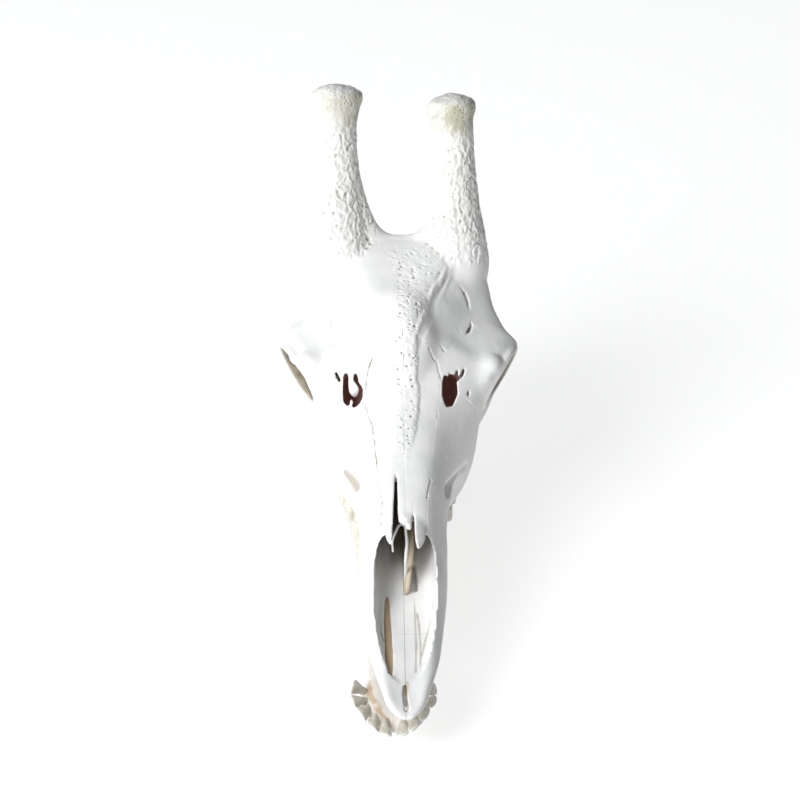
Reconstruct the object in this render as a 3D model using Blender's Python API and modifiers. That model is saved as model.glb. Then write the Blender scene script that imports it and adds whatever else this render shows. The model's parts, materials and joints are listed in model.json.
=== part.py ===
"""Giraffe skull with its lower jaw, at life size, resting on the lower edge of the jaw.

All sizes are in millimetres in the skull's own frame: x runs to the skull's left (the right of a viewer
in front), s runs backwards from the tip of the upper jaw, and h runs up from the rims of the upper tooth
sockets. An empty turns and lifts that frame: the jaw stands on the floor, with the muzzle towards -Y.
"""

import math

import bmesh
import bpy
import numpy as np
from mathutils import Matrix, Vector

MM = 0.001

# How the skull rests: on flats under the chin and under the angles of the jaw.
CHIN_S, CHIN_H = 108.0, -73.0
ANGLE_S, ANGLE_H = 484.0, -98.0
PITCH = math.atan2(CHIN_H - ANGLE_H, ANGLE_S - CHIN_S)

# The skull isn't quite even: how far the middle of the upper skull lies to its left at each distance s.
MIDLINE = ((-80, 5.0), (60, 5.0), (180, 5.0), (300, 3.5), (345, 2.5), (415, -1.0), (480, 0.0), (700, 0.0))

# Gap kept between pieces that touch, the grain of the fused bone and how many triangles it is thinned to.
SEAM = 0.3
GRAIN = 2.4
HEAD_TRIANGLES = 7100
JAW_TRIANGLES = 2400

# Section of the muzzle and face at each distance s behind the tip: height on the midline, then (x, h) of
# the crown of the nose, its flank, the cheek, the ridge over the teeth and the gum, then the height of the
# palate.
FACE = (
    (2, 5, (5, 5.5), (6.5, 5), (7.5, 3), (6.5, 1), (4, 0), 0),
    (14, 7, (8.5, 7.5), (13.5, 8), (16.3, 5), (15.5, 2), (9, 0), 0),
    (42, 9.5, (11.5, 10.5), (21.5, 11.5), (25.3, 7), (24, 3), (16, 0), 0),
    (78, 21, (22, 21), (29.5, 16), (33.9, 10), (32.5, 4), (22, 0), 1),
    (110, 31, (26, 31), (33.5, 22), (37.8, 13), (37, 5), (26, 1), 3),
    (150, 48, (29, 48), (37.5, 33), (41.8, 20), (41.5, 8), (30, 2), 5),
    (180, 66, (26, 66), (38.5, 47), (43.6, 28), (43, 10), (34, 2), 6),
    (205, 88, (21, 84), (36.5, 62), (44.5, 38), (43, 14), (37, 1), 7),
    (240, 104, (23, 100), (39, 76), (45, 50), (43, 22), (39, 0), 8),
    (272, 119, (26, 114), (44, 88), (50, 66), (46, 34), (41, 0), 9),
    (305, 139, (29, 132), (51, 105), (60, 78), (55, 42), (44, 4), 10),
    (320, 149, (31, 142), (57, 115), (68, 85), (69, 45), (49, 5), 11),
    (335, 160, (34, 152), (64, 126), (75, 94), (76, 52), (55, 5), 12),
    (360, 178, (44, 168), (83, 142), (86, 108), (79, 68), (56, 8), 14),
    (382, 188, (54, 176), (92, 150), (90, 116), (70, 80), (42, 28), 22),
    (402, 186, (44, 170), (60, 142), (56, 112), (44, 80), (28, 52), 36),
)

# Section of the forehead: height on the midline, then (x, h) of the raised ridge beside it, of the hollow
# over the eye, of the brow's edge and of its underside, then the height of the plate's own underside.
FOREHEAD = (
    (344, 164, (20, 162), (42, 150), (64, 136), (50, 122), 132),
    (360, 181, (20, 178), (50, 158), (82, 147), (70, 130), 140),
    (380, 197, (20, 193), (56, 168), (101, 154), (88, 136), 146),
    (398, 207, (21, 203), (61, 175), (115, 153), (100, 138), 150),
    (410, 212, (24, 209), (66, 179), (123, 149), (107, 136), 154),
    (420, 215, (28, 213), (70, 182), (127, 146), (112, 130), 157),
    (432, 217, (33, 215), (73, 185), (117, 150), (102, 134), 160),
    (452, 223, (44, 221), (78, 196), (104, 163), (89, 146), 162),
    (474, 229, (54, 226), (84, 208), (96, 182), (80, 156), 164),
    (502, 229, (56, 224), (78, 206), (88, 184), (68, 152), 160),
    (532, 212, (42, 206), (60, 190), (72, 164), (56, 138), 150),
    (562, 188, (32, 182), (48, 168), (62, 142), (50, 116), 130),
    (590, 162, (24, 156), (36, 146), (50, 126), (40, 104), 110),
)

# Section of the braincase: height on the midline, (x, h) of its widest place, height of its floor.
BRAINCASE = (
    (366, 150, (27, 112), 66),
    (400, 168, (34, 116), 54),
    (440, 178, (44, 120), 47),
    (480, 192, (54, 124), 43),
    (520, 196, (61, 122), 41),
    (556, 186, (64, 114), 41),
    (586, 164, (62, 104), 42),
    (603, 146, (54, 98), 48),
    (609, 132, (42, 94), 58),
)

# The nasal passage under the roof: half-width, floor and roof heights.
PASSAGE = (
    (156, 31, 14, 77),
    (180, 31, 15, 77),
    (205, 30, 16, 79),
    (240, 31, 18, 94),
    (272, 33, 20, 108),
    (305, 35, 24, 126),
    (335, 38, 36, 145),
    (354, 36, 60, 158),
)

# The open roof of the nose in front of the nasal bones: half-width and floor height, and a height above it.
NOSTRIL_TOP = 150
NOSTRIL = (
    (38, 4, 9.4),
    (48, 12, 9.2),
    (62, 19, 9.6),
    (90, 25.5, 10.5),
    (120, 29.5, 12),
    (150, 30.5, 13),
    (162, 29, 14),
)

# Nasal bones: half-width, height on the midline and at the edge, and depth of the edge. They jut over the
# nostril as a thin roof, and sink into the face behind it.
NASAL_ROOF = (
    (163, 14, 84, 81, 4),
    (170, 18, 85, 80, 5),
    (185, 21, 87, 80, 6),
    (205, 22, 90, 82, 7),
    (235, 23, 102, 96, 8),
)
# Seam round the nasal bones: half-width, and the height that they reach down to.
NASAL_SEAM = (
    (150, 30, 68),
    (200, 22.5, 74),
    (235, 23.5, 88),
    (262, 28, 103),
    (300, 32, 119),
    (330, 38, 136),
    (345, 37, 146),
    (356, 33, 157),
    (363, 26, 165),
    (367, 15, 170),
    (369, 4, 173),
)

# Broken front edge of the nasal bones, seen from above: (x, s) along its prongs and notches, and the
# heights between which everything in front of it is cut away.
NASAL_EDGE = (
    (-23.4, 140), (-23.0, 184), (-18.3, 179), (-13.7, 171.5), (-12.7, 190), (-8.9, 256), (-7.2, 214),
    (-0.5, 204), (3.1, 192.5), (6.5, 195), (8.8, 238), (9.7, 185), (13.1, 163), (18.5, 175), (22.9, 186),
    (23.3, 140),
)
NASAL_EDGE_HEIGHTS = (72.0, 112.0)

# Slot in the palate behind the front tip, on the skull's right: x and s of the middle, and half-width. It
# is cut between two heights.
PALATE_SLOT = ((-12.2, 54, 1.6), (-13, 66, 3.2), (-14, 104, 3.6), (-15, 134, 3.0), (-15.2, 164, 1.8))
PALATE_SLOT_HEIGHTS = (-10, 30)
# The vomer that stands on the palate: lower and upper height at each distance s, its thickness, how far its
# foot lies off the middle and how far it leans for each mm of height.
VOMER = ((168, 12, 20), (208, 13, 40), (260, 16, 48), (320, 26, 60), (344, 40, 68))
VOMER_THICK = 4.0
VOMER_OFF = 1.2
VOMER_LEAN = 0.28

# Seams of the cheek in (s, h): in front of the maxilla and behind it.
FRONT_SEAM = (
    (96, -30), (104, 4), (122, 20), (154, 34), (196, 54), (228, 70), (241, 84), (246, 104), (248, 150),
)
REAR_SEAM = ((396, -30), (396, 34), (372, 50), (355, 84), (345, 116), (339, 140), (334, 220))
SEAM_REACH = 120

# Where the pieces are split along the middle, as ranges of s and h: between the nasal bones, between the
# halves of the upper jaw under the roof of the nose, and between the halves of the lower jaw.
NASAL_SPLIT = ((140, 400), (60, 260))
PALATE_SPLIT = ((-60, REAR_SEAM[0][0]), (-60, 92))
JAW_SPLIT = ((-60, 600), (-150, 200))

# Orbit: its rim is a ring round this centre, which faces outwards, a little forwards and downwards.
ORBIT = (107.5, 399.0, 121.0)
ORBIT_FORWARDS = math.radians(23)
ORBIT_DOWNWARDS = math.radians(19)
ORBIT_RIM = 35.0
ORBIT_RIM_THICK = 4.5
ORBIT_HOLLOW = (60, 25.0, 30.5)
ORBIT_BACK = 6.5
# Walls that close the orbit in front, at its upper corner under the brow, and behind, in its own frame:
# middle (out, back, up) and radii.
ORBIT_WALLS = (
    ("orbit_front", (-9, -34, 2), (10, 17, 33)),
    ("orbit_corner", (-10, -25, 31), (11, 14, 10)),
    ("orbit_back", (-24, 30, -6), (24, 9, 30)),
)

# Rounded forms are given as centre, radii along x, s and h, and how many degrees their back is lifted and
# swung outwards. Bars are given as x, s, h, radius across and radius along their side direction.
ACROSS, UPRIGHT = (0, 1, 0), (0, 0, 1)
BUMP = ((4, 386, 172), (36, 62, 34), 35)
CHEEKBONE = ((59, 330, 58, 8, 12), (72, 366, 74, 8, 13), (91, 396, 83, 6, 11), (104, 428, 88, 5, 10))
ARCH = (
    (100, 420, 88, 5, 10),
    (106, 462, 91, 5, 9),
    (101, 498, 94, 6, 9),
    (86, 528, 95, 9, 10),
    (58, 548, 96, 10, 14),
)
BAR_BEHIND_EYE = ((119, 421, 148, 5, 8), (120, 432, 126, 4, 8), (112, 437, 104, 4, 8), (102, 436, 88, 4, 9))
NAPE_CREST = ((62, 570, 96, 5, 8), (56, 586, 124, 6, 8), (34, 600, 146, 7, 8), (0, 605, 155, 8, 9))
CONDYLE = ((23, 610, 60), (15, 17, 22), 0, 0)
THROAT_SPUR = ((50, 582, 76, 13, 11), (50, 588, 40, 9, 7), (46, 591, 8, 4, 4))
EAR_BULB = ((38, 560, 40), (11, 20, 17), 0, 0)
EAR_TUBE = ((50, 558, 82, 10, 10), (76, 553, 90, 8, 8))
# Bony blade beside the throat, as an outline of (s, h), its thickness and its x.
THROAT_BLADE = ((366, 56), (372, 22), (386, 2), (410, -2), (430, 6), (446, 26), (462, 56))
THROAT_BLADE_THICK = 6.0
THROAT_BLADE_X = 25.0

# Hollows cut into the skull, given as the rounded forms are.
TIP_NOTCH = ((0, 22, 6), (2.6, 22, 16))
NOSE_WINDOW = ((50, 337, 148), (11, 19, 26), 32, 20)
CHEEK_HOLLOW = (
    (42, 256, 80, 3, 6), (47, 266, 74, 6, 9), (54, 284, 68, 7, 9), (62, 300, 66, 6, 8), (71, 318, 65, 4, 6),
)
TEMPLE = ((98, 470, 122), (38, 44, 34), 0, 0)
THROAT = ((0, 404, 16), (18, 34, 18))
NECK_HOLE = ((0, 616, 64), (16, 30, 15))

# Ossicone: an axis from the forehead to the knob, with its radius at each share of the length.
OSSICONE_FOOT = (62.0, 484.0, 196.0)
OSSICONE_TIP = {1: (53.5, 576.0, 364.0), -1: (72.0, 580.0, 371.0)}
# They aren't alike: how thick each one's shaft and knob are for these radii, and how far its upper half
# leans inwards.
OSSICONE_GIRTH = {1: (1.04, 0.95), -1: (1.0, 1.0)}
KNOB_START = 0.82
OSSICONE_BEND = {1: -4.0, -1: 0.0}
BEND_START = 0.55
OSSICONE_RADII = (
    (-0.16, 12.0),
    (-0.06, 28.0),
    (0.06, 33.0),
    (0.18, 30.5),
    (0.32, 26.0),
    (0.5, 22.0),
    (0.7, 20.6),
    (0.80, 21.4),
    (0.86, 24.2),
    (0.90, 27.2),
    (0.925, 28.2),
    (0.95, 26.6),
    (0.97, 22.6),
    (0.985, 17.0),
    (0.995, 10.0),
    (1.0, 4.0),
)
HORN_SEAM = 0.24
HORN_BLOCK = 60.0

# Cheek teeth from front to back: s of the middle, length, upper x and width, lower x and width.
CHEEK_TEETH = (
    (227, 21, 32, 18, 25.5, 10),
    (249, 22, 34, 20, 27, 11),
    (272, 23, 36.5, 22, 29, 12),
    (299, 28, 37, 25, 31.5, 13),
    (334, 28, 44.5, 27, 35, 14),
    (364, 30, 50.5, 27, 39, 13),
)
UPPER_CROWN = (12.0, -15.8)
LOWER_CROWN = (-42.0, -16.2)

# Bay between the ossicones: (s, h) of its foot, half-width, rise at its sides, depth sunk, thickness and
# how sharply it turns up.
SADDLE_FOOT = (497.0, 214.0)
SADDLE_REACH = 46.0
SADDLE_RISE = 70.0
SADDLE_SINK = 36.0
SADDLE_THICK = 30.0
SADDLE_POWER = 3.0

# Front teeth of the lower jaw, from the midline out: the root (x, s, h) and the inner and outer end of the
# crown's edge. The last two rows are the lobes of one tooth.
FRONT_TEETH = (
    ((8.9, 35, -34), (1.2, 2.3, -22), (15.2, 6.3, -22)),
    ((18.4, 43, -34), (14.8, 7.2, -21.5), (26, 19, -21.5)),
    ((25.2, 54, -34), (27.6, 21, -20.5), (36.8, 39, -20.5)),
    ((29, 64, -34), (38.4, 40, -19.5), (43.6, 57, -19)),
    ((31, 78, -34), (43.4, 59, -18.8), (39.4, 80, -18.5)),
)
# Front tooth at each share of the way from root to edge: its width for the edge's and its half-thickness.
FRONT_TOOTH = (
    (-0.2, 0.38, 4.6),
    (0.0, 0.44, 4.6),
    (0.3, 0.66, 4.2),
    (0.6, 0.96, 3.4),
    (0.85, 1.06, 2.3),
    (1.0, 0.86, 1.1),
)
# Cheek tooth: its width for the crown's at each share of the way from root to worn top, and how square its
# corners are, from 0 for sharp ones to 1 for an ellipse.
CHEEK_TOOTH = ((0.0, 0.86), (0.88, 1.0), (1.0, 0.92))
CORNER_POWER = 0.45

# Lower jaw: chin section half-width, top and bottom heights.
CHIN = (
    (26, 14, -36, -41),
    (32, 22, -34, -46),
    (40, 28, -32, -52),
    (54, 32, -31, -60),
    (74, 32, -32, -67),
    (90, 31, -33, -71),
    (105, 28, -35, -73),
    (120, 25, -38, -75),
    (132, 25, -42, -71),
)
# Lower jaw: each side's body as x of the middle, half-thickness, top and bottom heights.
JAW_BODY = (
    (100, 11, 8.5, -37, -72),
    (150, 16.5, 9, -37, -74),
    (200, 22, 8.5, -33, -76),
    (260, 26, 9, -29, -79),
    (320, 32, 9.5, -28, -84),
    (372, 37.5, 9.5, -27, -89),
    (404, 42.5, 8, -30, -93),
    (430, 47.5, 6, -40, -96),
)
# Lower jaw: outline of the upright branch, (s, h), its thickness, and its x at its lowest and highest.
BRANCH = (
    (392, -36), (406, -6), (422, 30), (438, 66), (449, 98), (458, 120), (468, 134), (480, 141), (487, 136),
    (482, 120), (483, 101), (492, 84), (505, 74), (520, 74), (528, 68), (526, 52), (518, 30), (513, 2),
    (511, -26), (513, -52), (508, -78), (496, -95), (474, -100), (440, -97), (410, -93), (392, -89),
)
BRANCH_THICK = 9.0
# The branch leans out: its x at s 400 on the jaw's lower edge, and what is added for each mm back and up.
BRANCH_LEAN = (42.5, 0.20, 0.055)
# The dry jaw lies a little askew, turned about its joints.
JAW_SWING = math.radians(0.7)
JAW_JOINT = (77.0, 520.0, 72.0)
JAW_JOINT_RADII = (22.0, 9.0, 9.0)
JOINT_NECK = ((68, 510, 20, 6, 9), (71, 515, 46, 7, 9), (76, 519, 70, 11, 8))

# Block under the floor: how far it reaches to each side, along the skull and down.
FLOOR_REACH = 200.0
FLOOR_RUN = (-60.0, 700.0)
FLOOR_DEEP = 80.0

# Middle of each piece's box, by which it is told apart once the seams are cut.
ABOVE_SEAMS = {"head": (0, 314, 184), "nasals": (0, 270, 130)}
NASAL_PLACES = {"nasal_left": (15, 270, 130), "nasal_right": (-15, 270, 130)}
HEAD_PLACES = {
    "premaxilla_left": (28, 105, 30),
    "premaxilla_right": (-28, 105, 30),
    "maxilla_left": (40, 255, 60),
    "maxilla_right": (-40, 255, 60),
    "cranium": (0, 480, 130),
}
JAW_PLACES = {"mandible_left": (45, 260, 20), "mandible_right": (-45, 260, 20)}
SIDES = ((1, "left"), (-1, "right"))

# Colour and roughness of each kind of piece.
LOOKS = {
    "cranium": ((0.80, 0.78, 0.72), 0.62),
    "maxilla": ((0.82, 0.80, 0.74), 0.60),
    "premaxilla": ((0.84, 0.82, 0.77), 0.60),
    "nasal": ((0.84, 0.82, 0.76), 0.62),
    "ossicone": ((0.74, 0.70, 0.58), 0.68),
    "mandible": ((0.76, 0.73, 0.66), 0.58),
    "vomer": ((0.72, 0.62, 0.48), 0.66),
}


def flow(keys, values, at):
    """Smooth curve through values at keys: on each span a cubic whose slopes are the weighted mean of the
    straight slopes on either side."""
    keys, values, at = (np.asarray(a, float) for a in (keys, values, at))
    values = values.reshape(len(keys), -1)
    span = np.diff(keys)[:, None]
    straight = np.diff(values, axis=0) / span
    slope = np.vstack([straight[:1], np.zeros((len(keys) - 2, values.shape[1])), straight[-1:]])
    slope[1:-1] = (straight[:-1] * span[1:] + straight[1:] * span[:-1]) / (span[:-1] + span[1:])
    i = np.clip(np.searchsorted(keys, at) - 1, 0, len(keys) - 2)
    t = ((at - keys[i]) / span[i, 0])[:, None]
    return (
        (1 + 2 * t) * (1 - t) ** 2 * values[i]
        + t * (1 - t) ** 2 * span[i] * slope[i]
        + t**2 * (3 - 2 * t) * values[i + 1]
        + t**2 * (t - 1) * span[i] * slope[i + 1]
    )


def loop_length(points):
    """Length along a row of points, from 0 at the first."""
    return np.concatenate([[0], np.cumsum(np.linalg.norm(np.diff(points, axis=0), axis=1))])


def ring(half, count):
    """Closed, even section from its right half, listed from the top of the midline to the bottom: the half
    is mirrored, and count points are spaced evenly along the smooth curve through all of it."""
    half = np.asarray(half, float)
    loop = np.vstack([half, half[-2:0:-1] * (-1, 1)])
    turns = np.vstack([loop[-3:], loop, loop[:4]])
    length = loop_length(turns)
    start, end = length[3], length[3 + len(loop)]
    return flow(length, turns, start + (end - start) * np.arange(count) / count)


def stations(table, step):
    """Distances s from the first row of a table to the last, about step apart."""
    first, last = table[0][0], table[-1][0]
    return np.linspace(first, last, max(2, round((last - first) / step) + 1))


def collection(name):
    found = bpy.data.collections.new(name)
    bpy.context.scene.collection.children.link(found)
    return found


def new_object(name, points, faces, into):
    """Mesh object from points in millimetres and faces, with its normals made to point out."""
    mesh = bpy.data.meshes.new(name)
    mesh.from_pydata((np.asarray(points, float) * MM).tolist(), [], [list(map(int, f)) for f in faces])
    shape = bmesh.new()
    shape.from_mesh(mesh)
    bmesh.ops.recalc_face_normals(shape, faces=shape.faces)
    shape.to_mesh(mesh)
    shape.free()
    made = bpy.data.objects.new(name, mesh)
    into.objects.link(made)
    made.hide_render = True
    made.display_type = "WIRE"
    return made


def loft(name, rings, into):
    """Closed skin over a stack of like rings, each an array of points (x, s, h), with both ends capped."""
    rings = np.asarray(rings, float)
    stack, around, _ = rings.shape
    index = np.arange(stack * around).reshape(stack, around)
    low, high = index[:-1], index[1:]
    quads = np.stack([low, np.roll(low, -1, 1), np.roll(high, -1, 1), high], -1).reshape(-1, 4)
    faces = [*quads.tolist(), index[0, ::-1].tolist(), index[-1].tolist()]
    return new_object(name, rings.reshape(-1, 3), faces, into)


def upright(s, section):
    """Section points (x, h) stood in the plane at distance s."""
    return np.column_stack([section[:, 0], np.full(len(section), s), section[:, 1]])


def tube(name, path, into, around=12, step=6.0, side=UPRIGHT):
    """Bar along a smooth path: rows are x, s, h, the radius across and the radius along its side."""
    path = np.asarray(path, float)
    length = loop_length(path[:, :3])
    at = np.linspace(0, length[-1], max(4, round(length[-1] / step)) + 1)
    row = flow(length, path, at)
    along = np.gradient(row[:, :3], axis=0)
    along /= np.linalg.norm(along, axis=1)[:, None]
    across = np.cross(along, np.asarray(side, float))
    across /= np.linalg.norm(across, axis=1)[:, None]
    up = np.cross(across, along)
    turn = np.linspace(0, 2 * math.pi, around, endpoint=False)
    circle = (
        across[:, None] * np.cos(turn)[:, None] * row[:, None, 3:4]
        + up[:, None] * np.sin(turn)[:, None] * row[:, None, 4:5]
    )
    return loft(name, row[:, None, :3] + circle, into)


def mirrored_tube(name, path, into, **kind):
    """The bar on both sides of the skull."""
    path = np.asarray(path, float)
    kind_side = np.asarray(kind.pop("side", UPRIGHT), float)
    for side, word in SIDES:
        flip = np.ones(path.shape[1])
        flip[0] = side
        tube(f"{name}_{word}", path * flip, into, side=kind_side * (side, 1, 1), **kind)


def ball(name, centre, radii, into, turn=Matrix.Identity(4)):
    """Ellipsoid with radii along x, s and h before it is turned about its centre."""
    shape = bmesh.new()
    bmesh.ops.create_uvsphere(shape, u_segments=24, v_segments=14, radius=1.0)
    size = Matrix.Diagonal(Vector(radii) * MM).to_4x4()
    shape.transform(Matrix.Translation(Vector(centre) * MM) @ turn @ size)
    mesh = bpy.data.meshes.new(name)
    shape.to_mesh(mesh)
    shape.free()
    made = bpy.data.objects.new(name, mesh)
    into.objects.link(made)
    made.hide_render = True
    made.display_type = "WIRE"
    return made


def tipped(degrees):
    """Turn that lifts the back of a form."""
    return Matrix.Rotation(math.radians(degrees), 4, "X")


def both_balls(name, form, into):
    """The rounded form on both sides, with its back lifted by tip and swung outwards by turn."""
    centre, radii, tip, turn = form
    for side, word in SIDES:
        swung = Matrix.Rotation(math.radians(-turn * side), 4, "Z") @ tipped(tip)
        ball(f"{name}_{word}", (centre[0] * side, centre[1], centre[2]), radii, into, swung)


def orbit_frame(side):
    """Place of an orbit on one side, with its first axis pointing out of it."""
    level = math.cos(ORBIT_DOWNWARDS)
    out = (
        side * math.cos(ORBIT_FORWARDS) * level,
        -math.sin(ORBIT_FORWARDS) * level,
        -math.sin(ORBIT_DOWNWARDS),
    )
    middle = Vector((ORBIT[0] * side, *ORBIT[1:])) * MM
    return Matrix.Translation(middle) @ Vector(out).to_track_quat("X", "Z").to_matrix().to_4x4()


def plate(name, outline, thick, into, lean):
    """Flat plate cut to an outline in (s, h) and set upright on both sides: lean gives its x at each
    (s, h). Its edge is rounded later, when the bone is fused."""
    outline = np.asarray(outline, float)
    loop = np.vstack([outline[-3:], outline, outline[:4]])
    length = loop_length(loop)
    at = np.linspace(length[3], length[3 + len(outline)], len(outline) * 3, endpoint=False)
    edge = flow(length, loop, at)
    x = lean(edge[:, 0], edge[:, 1])
    for side, word in SIDES:
        faces = [np.column_stack([side * (x + off * thick / 2), edge]) for off in (-1, 1)]
        loft(f"{name}_{word}", faces, into)


def mirrored(half):
    """Closed straight-sided section from its right half, listed from the midline's top to its bottom."""
    half = np.asarray(half, float)
    return np.vstack([half, half[::-1] * (-1, 1)])


def section_rows(table, step):
    """Rows of a table of numbers read at even distances, as an array with s in front."""
    s = stations(table, step)
    keys = [row[0] for row in table]
    return np.column_stack([s, flow(keys, [np.hstack(row[1:]) for row in table], s)])


def applied(body, kind, name, **settings):
    """The body with one modifier added and applied."""
    modifier = body.modifiers.new(name, kind)
    for key, value in settings.items():
        setattr(modifier, key, value)
    bpy.context.view_layer.update()
    seen = body.evaluated_get(bpy.context.evaluated_depsgraph_get())
    mesh = bpy.data.meshes.new_from_object(seen)
    body.modifiers.clear()
    body.data = mesh
    return body


def boolean(body, operation, group):
    """Body joined with, or cut by, every closed mesh in a collection, which is then emptied."""
    settings = {"operation": operation, "operand_type": "COLLECTION", "collection": group}
    applied(body, "BOOLEAN", operation.lower(), solver="MANIFOLD", **settings)
    for spent in list(group.objects):
        bpy.data.objects.remove(spent)
    return body


def shells(body):
    """Closed surfaces of a mesh, each as its face indices, volume and centre, from largest to smallest."""
    shape = bmesh.new()
    shape.from_mesh(body.data)
    seen, found = set(), []
    for start in shape.faces:
        if start in seen:
            continue
        seen.add(start)
        front, faces = [start], []
        while front:
            face = front.pop()
            faces.append(face)
            for edge in face.edges:
                for other in edge.link_faces:
                    if other not in seen:
                        seen.add(other)
                        front.append(other)
        corners = [[v.co for v in face.verts] for face in faces]
        volume = sum(a.dot(b.cross(c)) / 6 for a, *rest in corners for b, c in zip(rest, rest[1:]))
        points = np.array([c for face in corners for c in face])
        found.append((volume, (points.min(0) + points.max(0)) / 2 / MM, [face.index for face in faces]))
    shape.free()
    return sorted(found, key=lambda shell: -shell[0])


def shell_object(body, name, faces, into):
    """New object from some of a body's faces."""
    made = bpy.data.objects.new(name, body.data.copy())
    made.data.name = name
    into.objects.link(made)
    keep = set(faces)
    shape = bmesh.new()
    shape.from_mesh(made.data)
    drop = [face for face in shape.faces if face.index not in keep]
    bmesh.ops.delete(shape, geom=drop, context="FACES")
    shape.to_mesh(made.data)
    shape.free()
    return made


def largest(body, into):
    """The body with only its largest closed surface."""
    name = body.name
    body.name = name + "_whole"
    made = shell_object(body, name, shells(body)[0][2], into)
    bpy.data.objects.remove(body)
    return made


def parted(body, places, into):
    """The body's closed surfaces as named objects: each goes to the name whose place is nearest to its
    middle, and the largest that a name gets is kept."""
    taken = {}
    for volume, centre, faces in shells(body):
        name = min(places, key=lambda key: np.linalg.norm(centre - places[key]))
        if name not in taken and volume > 0:
            taken[name] = shell_object(body, name, faces, into)
    bpy.data.objects.remove(body)
    return taken


def fused(name, forms, cutters, grain, triangles, into):
    """One body from a collection of overlapping forms: joined, cut, evened out and simplified."""
    body = max(forms.objects, key=lambda form: form.dimensions.length)
    forms.objects.unlink(body)
    into.objects.link(body)
    body.name = name
    boolean(body, "UNION", forms)
    if cutters:
        boolean(body, "DIFFERENCE", cutters)
    applied(body, "REMESH", "grain", mode="VOXEL", voxel_size=grain * MM, adaptivity=0.0)
    applied(body, "SMOOTH", "worn", factor=0.5, iterations=3)
    body = largest(body, into)
    applied(body, "TRIANGULATE", "triangles")
    applied(body, "DECIMATE", "simple", ratio=triangles / len(body.data.polygons))
    return largest(body, into)


def seam_sheet(name, line, into):
    """Thin upright sheet across the skull, along a line of (s, h) points."""
    line = np.asarray(line, float)
    along = np.gradient(line, axis=0)
    along /= np.linalg.norm(along, axis=1)[:, None]
    out = along[:, ::-1] * (1, -1) * SEAM / 2
    edge = np.vstack([line + out, (line - out)[::-1]])
    ends = (-SEAM_REACH, SEAM_REACH)
    loft(name, [np.column_stack([np.full(len(edge), x), edge]) for x in ends], into)


def bent(group):
    """The collection, with every mesh in it shifted sideways to follow the skull's middle."""
    for form in group.objects:
        place = np.empty(len(form.data.vertices) * 3)
        form.data.vertices.foreach_get("co", place)
        place = place.reshape(-1, 3)
        keys, offsets = zip(*MIDLINE)
        place[:, 0] += flow(keys, offsets, place[:, 1] / MM)[:, 0] * MM
        form.data.vertices.foreach_set("co", place.ravel())
        form.data.update()
    return group


def face_forms(into):
    """Muzzle, cheeks and palate, and the roof of the nose in front."""
    rings = []
    for s, top, *rest in section_rows(FACE, 8.0):
        half = [(0, top), *zip(rest[0:10:2], rest[1:10:2]), (0, rest[10])]
        rings.append(upright(s, ring(half, 44)))
    loft("face", rings, into)
    rings = []
    for s, wide, middle, edge, deep in section_rows(NASAL_ROOF, 6.0):
        half = ((0, middle), (wide * 0.6, (middle + edge) / 2 + 1), (wide, edge), (wide * 0.9, edge - deep))
        rings.append(upright(s, mirrored((*half, (wide * 0.5, middle - deep - 1), (0, middle - deep)))))
    loft("nasal_roof", rings, into)


def skull_forms(into):
    """Forehead, braincase, back of the skull, and the arches and bars at its sides."""
    rings = []
    for s, top, *rest in section_rows(FOREHEAD, 8.0):
        half = [(0, top), *zip(rest[0:8:2], rest[1:8:2]), (0, rest[8])]
        rings.append(upright(s, ring(half, 44)))
    loft("forehead", rings, into)
    rings = []
    for s, top, wide, middle, low in section_rows(BRAINCASE, 10.0):
        shoulder = (wide * 0.72, middle + (top - middle) * 0.72)
        hip = (wide * 0.74, middle - (middle - low) * 0.66)
        rings.append(upright(s, ring(((0, top), shoulder, (wide, middle), hip, (0, low)), 36)))
    loft("braincase", rings, into)
    centre, radii, tip = BUMP
    ball("bump", centre, radii, into, tipped(tip))
    mirrored_tube("cheekbone", CHEEKBONE, into)
    mirrored_tube("arch", ARCH, into)
    mirrored_tube("bar_behind_eye", BAR_BEHIND_EYE, into, side=ACROSS)
    for side, word in SIDES:
        for name, (out, aft, above), radii in ORBIT_WALLS:
            wall = ball(f"{name}_{word}", (0, 0, 0), radii, into)
            place = Matrix.Translation(Vector((out, side * aft, above)) * MM)
            wall.data.transform(orbit_frame(side) @ place)
        bpy.ops.mesh.primitive_torus_add(
            major_radius=ORBIT_RIM * MM,
            minor_radius=ORBIT_RIM_THICK * MM,
            major_segments=32,
            minor_segments=10,
        )
        hoop = bpy.context.object
        hoop.name = f"orbit_rim_{word}"
        hoop.data.transform(orbit_frame(side) @ Matrix.Rotation(math.pi / 2, 4, "Y"))
        for held in list(hoop.users_collection):
            held.objects.unlink(hoop)
        into.objects.link(hoop)
    far_half = [np.array(row) * (-1, 1, 1, 1, 1) for row in NAPE_CREST[-2::-1]]
    tube("nape", [*NAPE_CREST, *far_half], into, side=ACROSS)
    both_balls("condyle", CONDYLE, into)
    mirrored_tube("throat_spur", THROAT_SPUR, into, side=ACROSS)
    both_balls("ear_bulb", EAR_BULB, into)
    mirrored_tube("ear_tube", EAR_TUBE, into)
    plate("throat_blade", THROAT_BLADE, THROAT_BLADE_THICK, into, lambda s, h: THROAT_BLADE_X + 0 * s)
    for side, _ in SIDES:
        ossicone(side, into)
    saddle(into)


def ossicone_axis(side):
    """Foot of an ossicone and the vector from it to the knob's tip."""
    foot = np.array(OSSICONE_FOOT) * (side, 1, 1)
    return foot, np.array(OSSICONE_TIP[side]) * (side, 1, 1) - foot


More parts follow.
